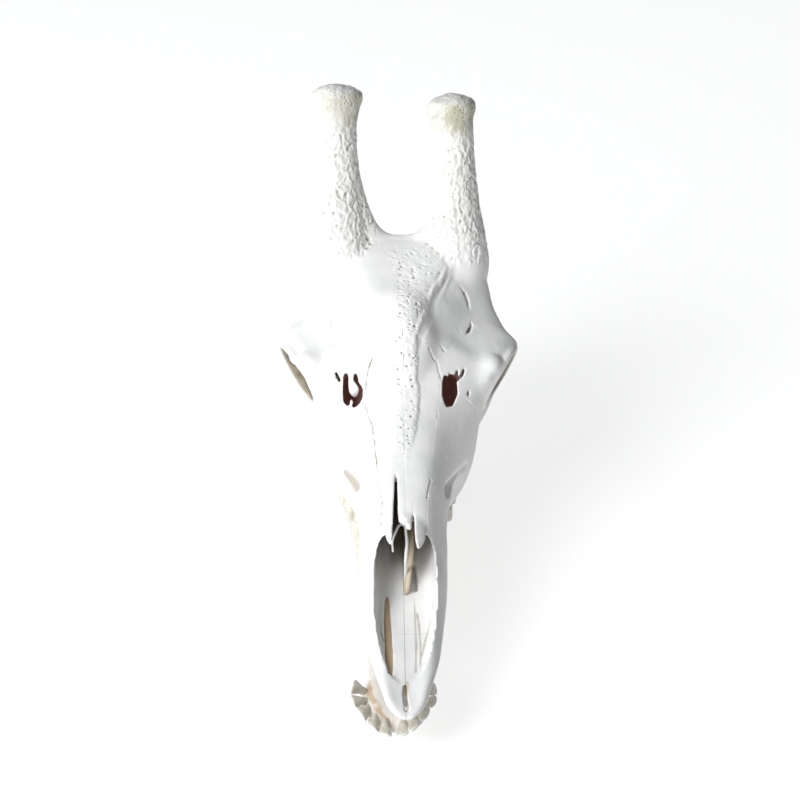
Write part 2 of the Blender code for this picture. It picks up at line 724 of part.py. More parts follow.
def ossicone(side, into):
    """One ossicone, from inside the forehead to its knob."""
    foot, axis = ossicone_axis(side)
    path = []
    for share, radius in OSSICONE_RADII:
        x, s, h = foot + axis * share
        x += OSSICONE_BEND[side] * max(0.0, (share - BEND_START) / (1 - BEND_START))
        shaft, knob = OSSICONE_GIRTH[side]
        radius *= knob if share > KNOB_START else shaft
        path.append((x, s, h, radius, radius * 0.96))
    tube(f"horn_{side}", path, into, around=20, step=4.0, side=ACROSS)


def saddle(into):
    """Bone that fills the angle between the feet of the ossicones: its top is a smooth bay."""
    lean = np.subtract(OSSICONE_TIP[1], OSSICONE_FOOT)[1:]
    lean /= np.linalg.norm(lean)
    across = np.array((lean[1], -lean[0]))
    turn = np.linspace(0, 2 * math.pi, 16, endpoint=False)[:, None]
    rings = []
    for x in np.linspace(-SADDLE_REACH, SADDLE_REACH, 19):
        rise = SADDLE_SINK + SADDLE_RISE * abs(x / SADDLE_REACH) ** SADDLE_POWER
        middle = np.array(SADDLE_FOOT) + lean * (rise - SADDLE_SINK) / 2
        ring_points = middle + lean * np.sin(turn) * rise / 2 + across * np.cos(turn) * SADDLE_THICK / 2
        rings.append(np.column_stack([np.full(len(turn), x), ring_points]))
    loft("saddle", rings, into)


def skull_hollows(into):
    """What the skull's openings cut away: the nose, the orbits, the holes beside them and the neck's."""
    rings = []
    for s, wide, low, high in section_rows(PASSAGE, 8.0):
        middle = (low + high) / 2
        half = ((0, high), (wide * 0.7, high - 4), (wide, middle), (wide * 0.86, low + 2), (0, low))
        rings.append(upright(s, ring(half, 28)))
    loft("passage", rings, into)
    rings = []
    for s, wide, low in section_rows(NOSTRIL, 10.0):
        half = ((0, NOSTRIL_TOP), (wide, NOSTRIL_TOP), (wide, low + 9), (wide * 0.85, low), (0, low))
        rings.append(upright(s, mirrored(half)))
    loft("nostril", rings, into)
    ball("tip_notch", *TIP_NOTCH, into)
    rings = []
    low, high = PALATE_SLOT_HEIGHTS
    for x, s, wide in PALATE_SLOT:
        rings.append([(x - wide, s, low), (x + wide, s, low), (x + wide, s, high), (x - wide, s, high)])
    loft("palate_slot", rings, into)
    for side, word in SIDES:
        hollow = ball(f"orbit_{word}", (0, 0, 0), ORBIT_HOLLOW, into)
        place = Matrix.Translation(Vector((0, side * ORBIT_BACK, 0)) * MM)
        hollow.data.transform(orbit_frame(side) @ place)
    both_balls("nose_window", NOSE_WINDOW, into)
    mirrored_tube("cheek_hollow", CHEEK_HOLLOW, into)
    both_balls("temple", TEMPLE, into)
    ball("throat", *THROAT, into)
    ball("neck_hole", *NECK_HOLE, into)


def jaw_forms(into):
    """Chin, bodies and upright branches of the lower jaw, with the joint's knuckles."""
    rings = []
    for s, wide, top, low in section_rows(CHIN, 6.0):
        flank = (wide, (top + low) / 2 + 2)
        half = ((0, top), (wide * 0.7, top + 1), flank, (wide * 0.6, low + 3), (0, low))
        rings.append(upright(s, ring(half, 28)))
    loft("chin", rings, into)
    for side, word in SIDES:
        rings = []
        for s, middle, thick, top, low in section_rows(JAW_BODY, 10.0):
            turn = np.linspace(0, 2 * math.pi, 20, endpoint=False)
            x = middle + thick * np.sign(np.cos(turn)) * abs(np.cos(turn)) ** 0.8
            h = (top + low) / 2 + (top - low) / 2 * np.sign(np.sin(turn)) * abs(np.sin(turn)) ** 0.7
            rings.append(upright(s, np.column_stack([side * x, h])))
        loft(f"jaw_body_{word}", rings, into)
    near, back, up = BRANCH_LEAN
    plate("branch", BRANCH, BRANCH_THICK, into, lambda s, h: near + back * (s - 400) + up * (h - ANGLE_H))
    both_balls("jaw_joint", (JAW_JOINT, JAW_JOINT_RADII, 0, 0), into)
    mirrored_tube("joint_neck", JOINT_NECK, into, side=ACROSS)


def crown(name, centre, length, width, low, high, into):
    """Cheek tooth: a block with rounded corners, a little narrower at its root and at its worn top."""
    turn = np.linspace(0, 2 * math.pi, 12, endpoint=False) + math.pi / 12
    x = np.sign(np.cos(turn)) * abs(np.cos(turn)) ** CORNER_POWER * width / 2
    s = np.sign(np.sin(turn)) * abs(np.sin(turn)) ** CORNER_POWER * length / 2
    rings = []
    for share, size in CHEEK_TOOTH:
        flat = np.column_stack([x * size, s * (1 + size) / 2]) + centre
        rings.append(np.column_stack([flat, np.full(len(turn), low + (high - low) * share)]))
    loft(name, rings, into)


def front_tooth(name, root, inner, outer, side, into):
    """Front tooth: a root that widens to a flat, rounded spoon, thin at its edge."""
    root, inner, outer = (np.array(end, float) * (side, 1, 1) for end in (root, inner, outer))
    axis = (inner + outer) / 2 - root
    across = (outer - inner) / 2
    up = np.cross(across, axis)
    up /= np.linalg.norm(up)
    turn = np.linspace(0, 2 * math.pi, 10, endpoint=False)[:, None]
    rings = []
    for share, wide, thick in FRONT_TOOTH:
        rings.append(root + axis * share + across * np.cos(turn) * wide + up * np.sin(turn) * thick)
    loft(name, rings, into)


def with_cheek_teeth(body, side, upper, group):
    """A maxilla or a half of the lower jaw with its row of cheek teeth joined on."""
    for number, (s, length, x_up, wide_up, x_low, wide_low) in enumerate(CHEEK_TEETH):
        x, wide = (x_up, wide_up) if upper else (x_low, wide_low)
        low, high = UPPER_CROWN if upper else LOWER_CROWN
        crown(f"cheek_tooth_{number}", (side * x, s), length, wide, low, high, group)
    return boolean(body, "UNION", bent(group) if upper else group)


def material(name, colour, roughness):
    made = bpy.data.materials.new(name)
    made.use_nodes = True
    shader = made.node_tree.nodes["Principled BSDF"]
    shader.inputs["Base Color"].default_value = (*colour, 1.0)
    shader.inputs["Roughness"].default_value = roughness
    return made


def nasal_seam(into):
    """Closed gap round the two nasal bones."""
    rings = []
    for s, wide, low in section_rows(NASAL_SEAM, 12.0):
        rings.append(upright(s, mirrored(((0, 260), (wide, 260), (wide, low), (0, low)))))
    loft("nasal_seam", rings, into)
    applied(into.objects["nasal_seam"], "SOLIDIFY", "gap", thickness=SEAM * MM, offset=0.0)


def middle_slab(s_range, h_range, into):
    """Thin upright slab along the skull at its middle."""
    half = SEAM / 2
    edge = ((-half, h_range[0]), (half, h_range[0]), (half, h_range[1]), (-half, h_range[1]))
    loft("middle", [[(x, s, h) for x, h in edge] for s in np.linspace(*s_range, 25)], into)


def nasal_edge(into):
    """Block in front of the nasal bones, cut to their broken edge."""
    loft("nasal_edge", [[(x, s, h) for x, s in NASAL_EDGE] for h in NASAL_EDGE_HEIGHTS], into)


def horn_block(side, grow, into):
    """Block round an ossicone, from its seam outwards, in line with its axis."""
    foot, axis = ossicone_axis(side)
    length = np.linalg.norm(axis)
    axis /= length
    start = foot + axis * (length * HORN_SEAM - grow)
    across = np.cross(axis, (1, 0, 0))
    across /= np.linalg.norm(across)
    aside = np.cross(axis, across)
    corners = [(-1, -1), (1, -1), (1, 1), (-1, 1)]
    near = [start + (a * across + b * aside) * HORN_BLOCK for a, b in corners]
    far = [point + axis * length for point in near]
    loft(f"horn_block_{side}", [near, far], into)


def vomer(name, grow, into):
    """Thin plate in the middle of the nose, which leans to the skull's left."""
    rings = []
    for s, low, high in VOMER:
        wide = VOMER_THICK / 2 + grow
        edge = ((-wide, low - grow), (wide, low - grow), (wide, high + grow), (-wide, high + grow))
        rings.append([(x + VOMER_OFF + VOMER_LEAN * (h - low), s, h) for x, h in edge])
    rings[0] = [(x, s - grow, h) for x, s, h in rings[0]]
    rings[-1] = [(x, s + grow, h) for x, s, h in rings[-1]]
    loft(name, rings, into)


def floor_block(into):
    """Block under the level on which the jaw stands."""
    slope = (ANGLE_H - CHIN_H) / (ANGLE_S - CHIN_S)
    rings = []
    for s in FLOOR_RUN:
        top = CHIN_H + slope * (s - CHIN_S)
        low = top - FLOOR_DEEP
        corners = ((-FLOOR_REACH, top), (FLOOR_REACH, top), (FLOOR_REACH, low), (-FLOOR_REACH, low))
        rings.append([(x, s, h) for x, h in corners])
    loft("floor_block", rings, into)


def main():
    for old in list(bpy.data.objects):
        bpy.data.objects.remove(old)
    parts = collection("giraffe_skull")
    cutters = collection("cutters")
    forms = collection("forms")

    face_forms(forms)
    skull_forms(forms)
    skull_hollows(cutters)
    head = fused("head", bent(forms), bent(cutters), GRAIN, HEAD_TRIANGLES, parts)

    nasal_seam(cutters)
    pieces = parted(boolean(head, "DIFFERENCE", bent(cutters)), ABOVE_SEAMS, parts)
    head, nasals = pieces["head"], pieces["nasals"]
    middle_slab(*NASAL_SPLIT, cutters)
    nasal_edge(cutters)
    nodes = parted(boolean(nasals, "DIFFERENCE", bent(cutters)), NASAL_PLACES, parts)

    for side, word in SIDES:
        horn = head.copy()
        horn.data = head.data.copy()
        horn.name = f"ossicone_{word}"
        parts.objects.link(horn)
        horn_block(side, -SEAM, cutters)
        boolean(horn, "INTERSECT", cutters)
        nodes[f"ossicone_{word}"] = largest(horn, parts)
        horn_block(side, 0.0, cutters)
        head = boolean(head, "DIFFERENCE", cutters)

    seam_sheet("front_seam", FRONT_SEAM, cutters)
    seam_sheet("rear_seam", REAR_SEAM, cutters)
    middle_slab(*PALATE_SPLIT, cutters)
    vomer("vomer_slot", SEAM, cutters)
    nodes.update(parted(boolean(head, "DIFFERENCE", bent(cutters)), HEAD_PLACES, parts))
    for side, word in SIDES:
        with_cheek_teeth(nodes[f"maxilla_{word}"], side, True, forms)

    jaw_forms(forms)
    jaw = fused("jaw", forms, None, GRAIN, JAW_TRIANGLES, parts)
    middle_slab(*JAW_SPLIT, cutters)
    boolean(jaw, "DIFFERENCE", cutters)
    nodes.update(parted(jaw, JAW_PLACES, parts))
    pivot = Matrix.Translation(Vector((0, *JAW_JOINT[1:])) * MM)
    swing = pivot @ Matrix.Rotation(-JAW_SWING, 4, "Z") @ pivot.inverted()
    for side, word in SIDES:
        half = nodes[f"mandible_{word}"]
        for number, ends in enumerate(FRONT_TEETH):
            front_tooth(f"front_tooth_{number}", *ends, side, forms)
        with_cheek_teeth(half, side, False, forms)
        half.data.transform(swing)
        floor_block(cutters)
        boolean(half, "DIFFERENCE", cutters)
    room = [radius + 3 * SEAM for radius in JAW_JOINT_RADII]
    both_balls("jaw_room", (JAW_JOINT, room, 0, 0), cutters)
    boolean(nodes["cranium"], "DIFFERENCE", cutters)

    vomer("vomer", 0.0, forms)
    nodes["vomer"] = bent(forms).objects["vomer"]
    forms.objects.unlink(nodes["vomer"])
    parts.objects.link(nodes["vomer"])

    stand = bpy.data.objects.new("resting_pose", None)
    parts.objects.link(stand)
    stand.rotation_euler = (PITCH, 0.0, 0.0)
    turned = Matrix.Rotation(PITCH, 3, "X")
    points = np.vstack([[turned @ v.co for v in node.data.vertices] for node in nodes.values()])
    low, high = points.min(0), points.max(0)
    stand.location = -Vector(((low[0] + high[0]) / 2, (low[1] + high[1]) / 2, low[2]))
    for name, node in nodes.items():
        kind = next(key for key in LOOKS if name.startswith(key))
        node.parent = stand
        node.hide_render = False
        node.display_type = "TEXTURED"
        node.data.materials.clear()
        node.data.materials.append(material(f"{kind}_bone", *LOOKS[kind]))
        node.data.shade_smooth()
        node.data.set_sharp_from_angle(angle=math.radians(50))


if __name__ == "__main__":
    main()
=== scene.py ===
# %% [markdown]
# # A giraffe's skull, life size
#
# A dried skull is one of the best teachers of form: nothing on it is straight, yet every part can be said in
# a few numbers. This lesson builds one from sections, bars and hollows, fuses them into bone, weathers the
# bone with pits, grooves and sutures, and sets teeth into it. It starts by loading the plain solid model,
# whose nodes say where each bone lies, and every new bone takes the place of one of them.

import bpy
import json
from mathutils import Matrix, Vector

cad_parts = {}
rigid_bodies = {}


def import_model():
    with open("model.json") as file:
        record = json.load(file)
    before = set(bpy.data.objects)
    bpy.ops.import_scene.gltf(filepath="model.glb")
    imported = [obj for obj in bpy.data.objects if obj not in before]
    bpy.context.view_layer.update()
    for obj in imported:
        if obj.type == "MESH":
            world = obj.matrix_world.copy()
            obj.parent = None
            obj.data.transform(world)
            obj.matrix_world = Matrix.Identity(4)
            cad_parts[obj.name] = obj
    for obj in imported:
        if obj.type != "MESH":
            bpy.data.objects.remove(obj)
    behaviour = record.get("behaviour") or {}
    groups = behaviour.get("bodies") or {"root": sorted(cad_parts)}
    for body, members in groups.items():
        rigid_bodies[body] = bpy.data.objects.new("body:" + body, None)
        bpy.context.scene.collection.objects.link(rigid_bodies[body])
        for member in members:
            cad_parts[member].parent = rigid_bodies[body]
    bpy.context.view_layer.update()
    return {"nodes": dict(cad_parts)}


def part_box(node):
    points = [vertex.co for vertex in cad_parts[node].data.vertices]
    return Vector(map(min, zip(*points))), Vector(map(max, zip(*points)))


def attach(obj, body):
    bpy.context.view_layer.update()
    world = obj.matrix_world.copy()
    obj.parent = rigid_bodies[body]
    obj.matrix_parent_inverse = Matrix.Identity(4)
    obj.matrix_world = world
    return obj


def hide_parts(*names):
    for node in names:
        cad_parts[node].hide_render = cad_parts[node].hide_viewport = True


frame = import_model()
print("nodes:", ", ".join(sorted(frame["nodes"])))

# %% [markdown]
# ## The skull's own frame
#
# A skull is easiest to describe in its own frame, as an anatomist would hold it: x to its left, s backwards
# from the tip of the upper jaw, h up from the rims of the tooth sockets, all in millimetres. It rests a few
# degrees nose down on its chin and on the angles of its jaw, so one matrix turns that frame into the room's.
# The matrix could be typed in, but it is worked out here from the lower jaw's two resting points and from the
# box of the vomer, the thin plate in the nose, so the pieces can't drift away from the solids.

# %% Sizes that place the skull
import itertools
import json
import math

import bmesh
import bpy
import numpy as np
from mathutils import Matrix, Vector

MM = 0.001
CHIN_S, CHIN_H = 108.0, -73.0
ANGLE_S, ANGLE_H = 484.0, -98.0
PITCH = math.atan2(CHIN_H - ANGLE_H, ANGLE_S - CHIN_S)
MIDLINE = ((-80, 5.0), (60, 5.0), (180, 5.0), (300, 3.5), (345, 2.5), (415, -1.0), (480, 0.0), (700, 0.0))
SIDES = ((1, "left"), (-1, "right"))
ACROSS, UPRIGHT = (0, 1, 0), (0, 0, 1)
VOMER = ((168, 12, 20), (208, 13, 40), (260, 16, 48), (320, 26, 60), (344, 40, 68))
VOMER_THICK = 4.0
VOMER_LEAN = 0.28
VOMER_OFF = 1.2


def flow(keys, values, at):
    """Smooth curve through values at keys: on each span a cubic whose slopes are the weighted mean of the
    straight slopes on either side."""
    keys, values, at = (np.asarray(a, float) for a in (keys, values, at))
    values = values.reshape(len(keys), -1)
    span = np.diff(keys)[:, None]
    straight = np.diff(values, axis=0) / span
    slope = np.vstack([straight[:1], np.zeros((len(keys) - 2, values.shape[1])), straight[-1:]])
    slope[1:-1] = (straight[:-1] * span[1:] + straight[1:] * span[:-1]) / (span[:-1] + span[1:])
    i = np.clip(np.searchsorted(keys, at) - 1, 0, len(keys) - 2)
    t = ((at - keys[i]) / span[i, 0])[:, None]
    return (
        (1 + 2 * t) * (1 - t) ** 2 * values[i]
        + t * (1 - t) ** 2 * span[i] * slope[i]
        + t**2 * (3 - 2 * t) * values[i + 1]
        + t**2 * (t - 1) * span[i] * slope[i + 1]
    )


def drift(s):
    """How far the middle of the upper skull lies to its left at each distance s."""
    keys, offsets = zip(*MIDLINE)
    return flow(keys, offsets, np.clip(s, keys[0], keys[-1]))[:, 0]


def vomer_corners():
    """Corners (x, s, h) of the vomer's plain plate: it leans by a share of the height above its foot."""
    rows = []
    for s, low, high in VOMER:
        wide = VOMER_THICK / 2
        for x, h in ((-wide, low), (wide, low), (wide, high), (-wide, high)):
            rows.append((x + VOMER_OFF + VOMER_LEAN * (h - low), s, h))
    rows = np.array(rows, float)
    rows[:, 0] += drift(rows[:, 1])
    return rows


turned = np.array(Matrix.Rotation(PITCH, 3, "X"))
low_corner = (vomer_corners() @ turned.T * MM).min(0)
STAND = np.array(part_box("vomer")[0]) - low_corner
TO_ROOM = Matrix.Translation(STAND) @ Matrix.Rotation(PITCH, 4, "X")
print("pitch", round(math.degrees(PITCH), 2), "deg, origin of the skull's frame at", STAND.round(4))

# %% [markdown]
# ## The camera
#
# The photograph looks down at the front of the skull. Its viewpoint was found by matching known points of the
# skull: it stands 2.45 m away, about 37 degrees above the line of the teeth, a little to the skull's right,
# and is rolled by two degrees. It could be aimed with a constraint, but a matrix says the same and stays put.

# %% Camera
CAMERA_HEIGHT = math.radians(36.7)
CAMERA_SWING = math.radians(2.19)
CAMERA_ROLL = math.radians(2.21)
CAMERA_AWAY = 2452.0
CAMERA_TARGET = (0.0, 339.0, 133.0)
SENSOR_WIDE = 36.0
FOCAL_SHARE = 2357 / 800

back = Vector(
    (
        -math.sin(CAMERA_SWING) * math.cos(CAMERA_HEIGHT),
        -math.cos(CAMERA_SWING) * math.cos(CAMERA_HEIGHT),
        math.sin(CAMERA_HEIGHT),
    )
)
level_right = (-back).cross(Vector((0, 0, 1))).normalized()
level_up = level_right.cross(-back)
right = level_right * math.cos(CAMERA_ROLL) + level_up * math.sin(CAMERA_ROLL)
up = level_up * math.cos(CAMERA_ROLL) - level_right * math.sin(CAMERA_ROLL)
eye = (Vector(CAMERA_TARGET) + back * CAMERA_AWAY) * MM
lens = bpy.data.cameras.new("camera")
lens.sensor_width = SENSOR_WIDE
lens.lens = SENSOR_WIDE * FOCAL_SHARE
camera = bpy.data.objects.new("camera", lens)
bpy.context.scene.collection.objects.link(camera)
camera.matrix_world = TO_ROOM @ Matrix((*zip(right, up, back, eye), (0, 0, 0, 1)))
bpy.context.scene.camera = camera
print("camera at", [round(v, 3) for v in camera.matrix_world.translation])

# %% [markdown]
# ## Sections, bars and balls
#
# Most of a skull can be laid down as three kinds of form: a stack of closed sections, a bar that follows a
# path, and an egg-shaped ball. Each is a grid of points that numpy works out at once. They are made as closed
# meshes, because closed meshes can be joined and cut exactly.

# %% Helpers that make closed meshes
FINE_STEP = 3.0
FINE_RING = 132
# Steps between two points of a plate's outline.
EDGE_STEPS = 8


def gathering(name):
    """New collection for meshes that wait to be joined or used as cutters."""
    made = bpy.data.collections.new(name)
    bpy.context.scene.collection.children.link(made)
    return made


def new_object(name, points, faces, into):
    """Mesh object from points in millimetres and faces, with its normals made to point out."""
    mesh = bpy.data.meshes.new(name)
    mesh.from_pydata((np.asarray(points, float) * MM).tolist(), [], faces)
    shape = bmesh.new()
    shape.from_mesh(mesh)
    bmesh.ops.recalc_face_normals(shape, faces=shape.faces)
    shape.to_mesh(mesh)
    shape.free()
    made = bpy.data.objects.new(name, mesh)
    into.objects.link(made)
    return made


def loft(name, rings, into):
    """Closed skin over a stack of like rings, each an array of points (x, s, h): neighbours in the stack and
    round the ring make quads, and the two ends are capped."""
    rings = np.asarray(rings, float)
    stack, around, _ = rings.shape
    index = np.arange(stack * around).reshape(stack, around)
    low, high = index[:-1], index[1:]
    quads = np.stack([low, np.roll(low, -1, 1), np.roll(high, -1, 1), high], -1).reshape(-1, 4)
    faces = [*quads.tolist(), index[0, ::-1].tolist(), index[-1].tolist()]
    return new_object(name, rings.reshape(-1, 3), faces, into)


def loop_length(points):
    """Length along a row of points, from 0 at the first."""
    return np.concatenate([[0], np.cumsum(np.linalg.norm(np.diff(points, axis=0), axis=1))])


def ring(half, count=FINE_RING):
    """Closed, even section from its right half, listed from the top of the midline to the bottom: the half
    is mirrored, and count points are spaced evenly along the smooth curve through all of it."""
    half = np.asarray(half, float)
    loop = np.vstack([half, half[-2:0:-1] * (-1, 1)])
    turns = np.vstack([loop[-3:], loop, loop[:4]])
    length = loop_length(turns)
    start, end = length[3], length[3 + len(loop)]
    return flow(length, turns, start + (end - start) * np.arange(count) / count)


def mirrored(half):
    """Closed straight-sided section from its right half."""
    half = np.asarray(half, float)
    return np.vstack([half, half[::-1] * (-1, 1)])


def upright(s, section):
    """Section points (x, h) stood in the plane at distance s."""
    return np.column_stack([section[:, 0], np.full(len(section), s), section[:, 1]])


def section_rows(table, step=FINE_STEP):
    """Rows of a table of numbers read at even distances, as an array with s in front."""
    keys = [row[0] for row in table]
    s = np.linspace(keys[0], keys[-1], max(2, round((keys[-1] - keys[0]) / step) + 1))
    return np.column_stack([s, flow(keys, [np.hstack(row[1:]) for row in table], s)])


def tube(name, path, into, around=28, step=FINE_STEP, side=UPRIGHT):
    """Bar along a smooth path: rows are x, s, h, the radius across and the radius along the side direction.
    Each ring is centre + across · cos + up · sin, with both radii changing along the path."""
    path = np.asarray(path, float)
    length = loop_length(path[:, :3])
    at = np.linspace(0, length[-1], max(4, round(length[-1] / step)) + 1)
    row = flow(length, path, at)
    along = np.gradient(row[:, :3], axis=0)
    along /= np.linalg.norm(along, axis=1)[:, None]
    across = np.cross(along, np.asarray(side, float))
    across /= np.linalg.norm(across, axis=1)[:, None]
    above = np.cross(across, along)
    turn = np.linspace(0, 2 * math.pi, around, endpoint=False)
    circle = (
        across[:, None] * np.cos(turn)[:, None] * row[:, None, 3:4]
        + above[:, None] * np.sin(turn)[:, None] * row[:, None, 4:5]
    )
    return loft(name, row[:, None, :3] + circle, into)


def both_tubes(name, path, into, **kind):
    """The bar on both sides of the skull."""
    path = np.asarray(path, float)
    toward = np.asarray(kind.pop("side", UPRIGHT), float)
    for side, word in SIDES:
        flip = np.ones(path.shape[1])
        flip[0] = side
        tube(f"{name}_{word}", path * flip, into, side=toward * (side, 1, 1), **kind)


def ball(name, centre, radii, into, turn=Matrix.Identity(4)):
    """Ellipsoid with radii along x, s and h before it is turned about its centre."""
    shape = bmesh.new()
    bmesh.ops.create_uvsphere(shape, u_segments=56, v_segments=32, radius=1.0)
    size = Matrix.Diagonal(Vector(radii) * MM).to_4x4()
    shape.transform(Matrix.Translation(Vector(centre) * MM) @ turn @ size)
    mesh = bpy.data.meshes.new(name)
    shape.to_mesh(mesh)
    shape.free()
    made = bpy.data.objects.new(name, mesh)
    into.objects.link(made)
    return made


def both_balls(name, form, into):
    """The ellipsoid on both sides, its back lifted and swung outwards by two angles in degrees."""
    centre, radii, tip, swing = form
    for side, word in SIDES:
        swung = Matrix.Rotation(math.radians(-swing * side), 4, "Z")
        turn = swung @ Matrix.Rotation(math.radians(tip), 4, "X")
        ball(f"{name}_{word}", (centre[0] * side, centre[1], centre[2]), radii, into, turn)


def both_plates(name, outline, thick, into, lean):
    """Plate cut to an outline in (s, h) and set upright on both sides: lean gives its x at each (s, h)."""
    outline = np.asarray(outline, float)
    loop = np.vstack([outline[-3:], outline, outline[:4]])
    length = loop_length(loop)
    at = np.linspace(length[3], length[3 + len(outline)], len(outline) * EDGE_STEPS, endpoint=False)
    edge = flow(length, loop, at)
    x = lean(edge[:, 0], edge[:, 1])
    for side, word in SIDES:
        faces = [np.column_stack([side * (x + off * thick / 2), edge]) for off in (-1, 1)]
        loft(f"{name}_{word}", faces, into)


def bent(group):
    """The collection, with every mesh in it shifted sideways to follow the skull's middle."""
    for form in group.objects:
        place = np.empty(len(form.data.vertices) * 3)
        form.data.vertices.foreach_get("co", place)
        place = place.reshape(-1, 3)
        place[:, 0] += drift(place[:, 1] / MM) * MM
        form.data.vertices.foreach_set("co", place.ravel())
        form.data.update()
    return group


# %% [markdown]
# ## Fusing and parting
#
# The overlapping forms become one skin in three moves: a Boolean union, a voxel remesh that evens out the
# faces, and a little smoothing that rounds the places where forms meet. Sculpting would do it by hand; this
# way gives the same bone each time. Parting is the reverse: thin sheets are cut out along the sutures, and
# what falls apart is named by where it lies.

# %% Helpers that join, cut and part
COARSE_GRAIN = 2.2
FINE_GRAIN = 1.15


def applied(body, kind, name, **settings):
    """The body with one modifier added and applied."""
    modifier = body.modifiers.new(name, kind)
    for key, value in settings.items():
        setattr(modifier, key, value)
    bpy.context.view_layer.update()
    seen = body.evaluated_get(bpy.context.evaluated_depsgraph_get())
    mesh = bpy.data.meshes.new_from_object(seen)
    body.modifiers.clear()
    body.data = mesh
    return body


def combined(body, operation, group):
    """Body joined with, or cut by, every closed mesh in a collection, which is then emptied."""
    settings = {"operation": operation, "operand_type": "COLLECTION", "collection": group}
    applied(body, "BOOLEAN", operation.lower(), solver="MANIFOLD", **settings)
    for spent in list(group.objects):
        bpy.data.objects.remove(spent)
    return body


def even_skin(body, grain, rounds):
    """Voxel skin of one grain, smoothed a few times."""
    applied(body, "REMESH", "grain", mode="VOXEL", voxel_size=grain * MM, adaptivity=0.0)
    return applied(body, "SMOOTH", "worn", factor=0.5, iterations=rounds)


def loose_parts(body):
    """The body's separate closed surfaces as objects, from largest to smallest, with volume and middle."""
    bpy.ops.object.select_all(action="DESELECT")
    body.select_set(True)
    bpy.context.view_layer.objects.active = body
    bpy.ops.mesh.separate(type="LOOSE")
    found = []
    for part in list(bpy.context.selected_objects):
        place = np.empty(len(part.data.vertices) * 3)
        part.data.vertices.foreach_get("co", place)
        place = place.reshape(-1, 3)
        size = place.max(0) - place.min(0)
        found.append((float(np.prod(size)), (place.max(0) + place.min(0)) / 2 / MM, part))
    return sorted(found, key=lambda entry: -entry[0])


def parted(body, places):
    """Named pieces of a body: each loose part goes to the nearest name, and the largest is kept."""
    taken = {}
    for _, centre, part in loose_parts(body):
        name = min(places, key=lambda key: np.linalg.norm(centre - places[key]))
        if name in taken:
            bpy.data.objects.remove(part)
        else:
            taken[name] = part
            part.name = name
    return taken


def main_part(body):
    """The body with only its largest closed surface."""
    name = body.name
    parts = loose_parts(body)
    for _, _, scrap in parts[1:]:
        bpy.data.objects.remove(scrap)
    parts[0][2].name = name
    return parts[0][2]


def grown_together(name, forms, cutters):
    """One coarse body from overlapping forms, less the cutters."""
    body = max(forms.objects, key=lambda form: form.dimensions.length)
    forms.objects.unlink(body)
    bpy.context.scene.collection.objects.link(body)
    body.name = name
    combined(body, "UNION", forms)
    if cutters.objects:
        combined(body, "DIFFERENCE", cutters)
    return main_part(even_skin(body, COARSE_GRAIN, 4))


forms = gathering("forms")
cutters = gathering("cutters")


# %% [markdown]
# ## The face
#
# The face is a stack of sections that widens from the tip of the upper jaw to the orbits. Each row of the
# table gives one section by a few corners, from the crown of the nose down to the gum, and smooth curves run
# through them both ways. The nasal bones jut forwards over the nostril as a thin roof of their own.

# %% Face and nasal roof
# Section of the muzzle and face at each distance s behind the tip: height on the midline, then (x, h) of
# the crown of the nose, its flank, the cheek, the ridge over the teeth and the gum, then the palate's height.
FACE = (
    (2, 5, (5, 5.5), (6.5, 5), (7.5, 3), (6.5, 1), (4, 0), 0),
    (14, 7, (8.5, 7.5), (13.5, 8), (16.3, 5), (15.5, 2), (9, 0), 0),
    (42, 9.5, (11.5, 10.5), (21.5, 11.5), (25.3, 7), (24, 3), (16, 0), 0),
    (78, 21, (22, 21), (29.5, 16), (33.9, 10), (32.5, 4), (22, 0), 1),
    (110, 31, (26, 31), (33.5, 22), (37.8, 13), (37, 5), (26, 1), 3),
    (150, 48, (29, 48), (37.5, 33), (41.8, 20), (41.5, 8), (30, 2), 5),
    (180, 66, (26, 66), (38.5, 47), (43.6, 28), (43, 10), (34, 2), 6),
    (205, 88, (21, 84), (36.5, 62), (44.5, 38), (43, 14), (37, 1), 7),
    (240, 104, (23, 100), (39, 76), (45, 50), (43, 22), (39, 0), 8),
    (272, 119, (26, 114), (44, 88), (50, 66), (46, 34), (41, 0), 9),
    (305, 139, (29, 132), (51, 105), (60, 78), (55, 42), (44, 4), 10),
    (320, 149, (31, 142), (57, 115), (68, 85), (69, 45), (49, 5), 11),
    (335, 160, (34, 152), (64, 126), (75, 94), (76, 52), (55, 5), 12),
    (360, 178, (44, 168), (83, 142), (86, 108), (79, 68), (56, 8), 14),
    (382, 188, (54, 176), (92, 150), (90, 116), (70, 80), (42, 28), 22),
    (402, 186, (44, 170), (60, 142), (56, 112), (44, 80), (28, 52), 36),
)

# Nasal bones: half-width, height on the midline and at the edge, and depth of the edge. They jut over the
# nostril as a thin roof, and sink into the face behind it.
NASAL_ROOF = (
    (163, 14, 84, 81, 4),
    (170, 18, 85, 80, 5),
    (185, 21, 87, 80, 6),
    (205, 22, 90, 82, 7),
    (235, 23, 102, 96, 8),
)

rings = []
for s, top, *rest in section_rows(FACE):
    half = [(0, top), *zip(rest[0:10:2], rest[1:10:2]), (0, rest[10])]
    rings.append(upright(s, ring(half)))
face = loft("face", rings, forms)
rings = []
for s, wide, middle, edge, deep in section_rows(NASAL_ROOF):
    half = ((0, middle), (wide * 0.6, (middle + edge) / 2 + 1), (wide, edge), (wide * 0.9, edge - deep))
    rings.append(upright(s, mirrored((*half, (wide * 0.5, middle - deep - 1), (0, middle - deep)))))
loft("nasal_roof", rings, forms)
print("face of", len(face.data.vertices), "points")

# %% [markdown]
# ## Forehead and braincase
#
# Behind the face the frontal bones rise into the giraffe's median bump, swell out over the eyes and run on
# to the back of the head. The braincase is a second stack beneath them, and the bump is a tipped ellipsoid.

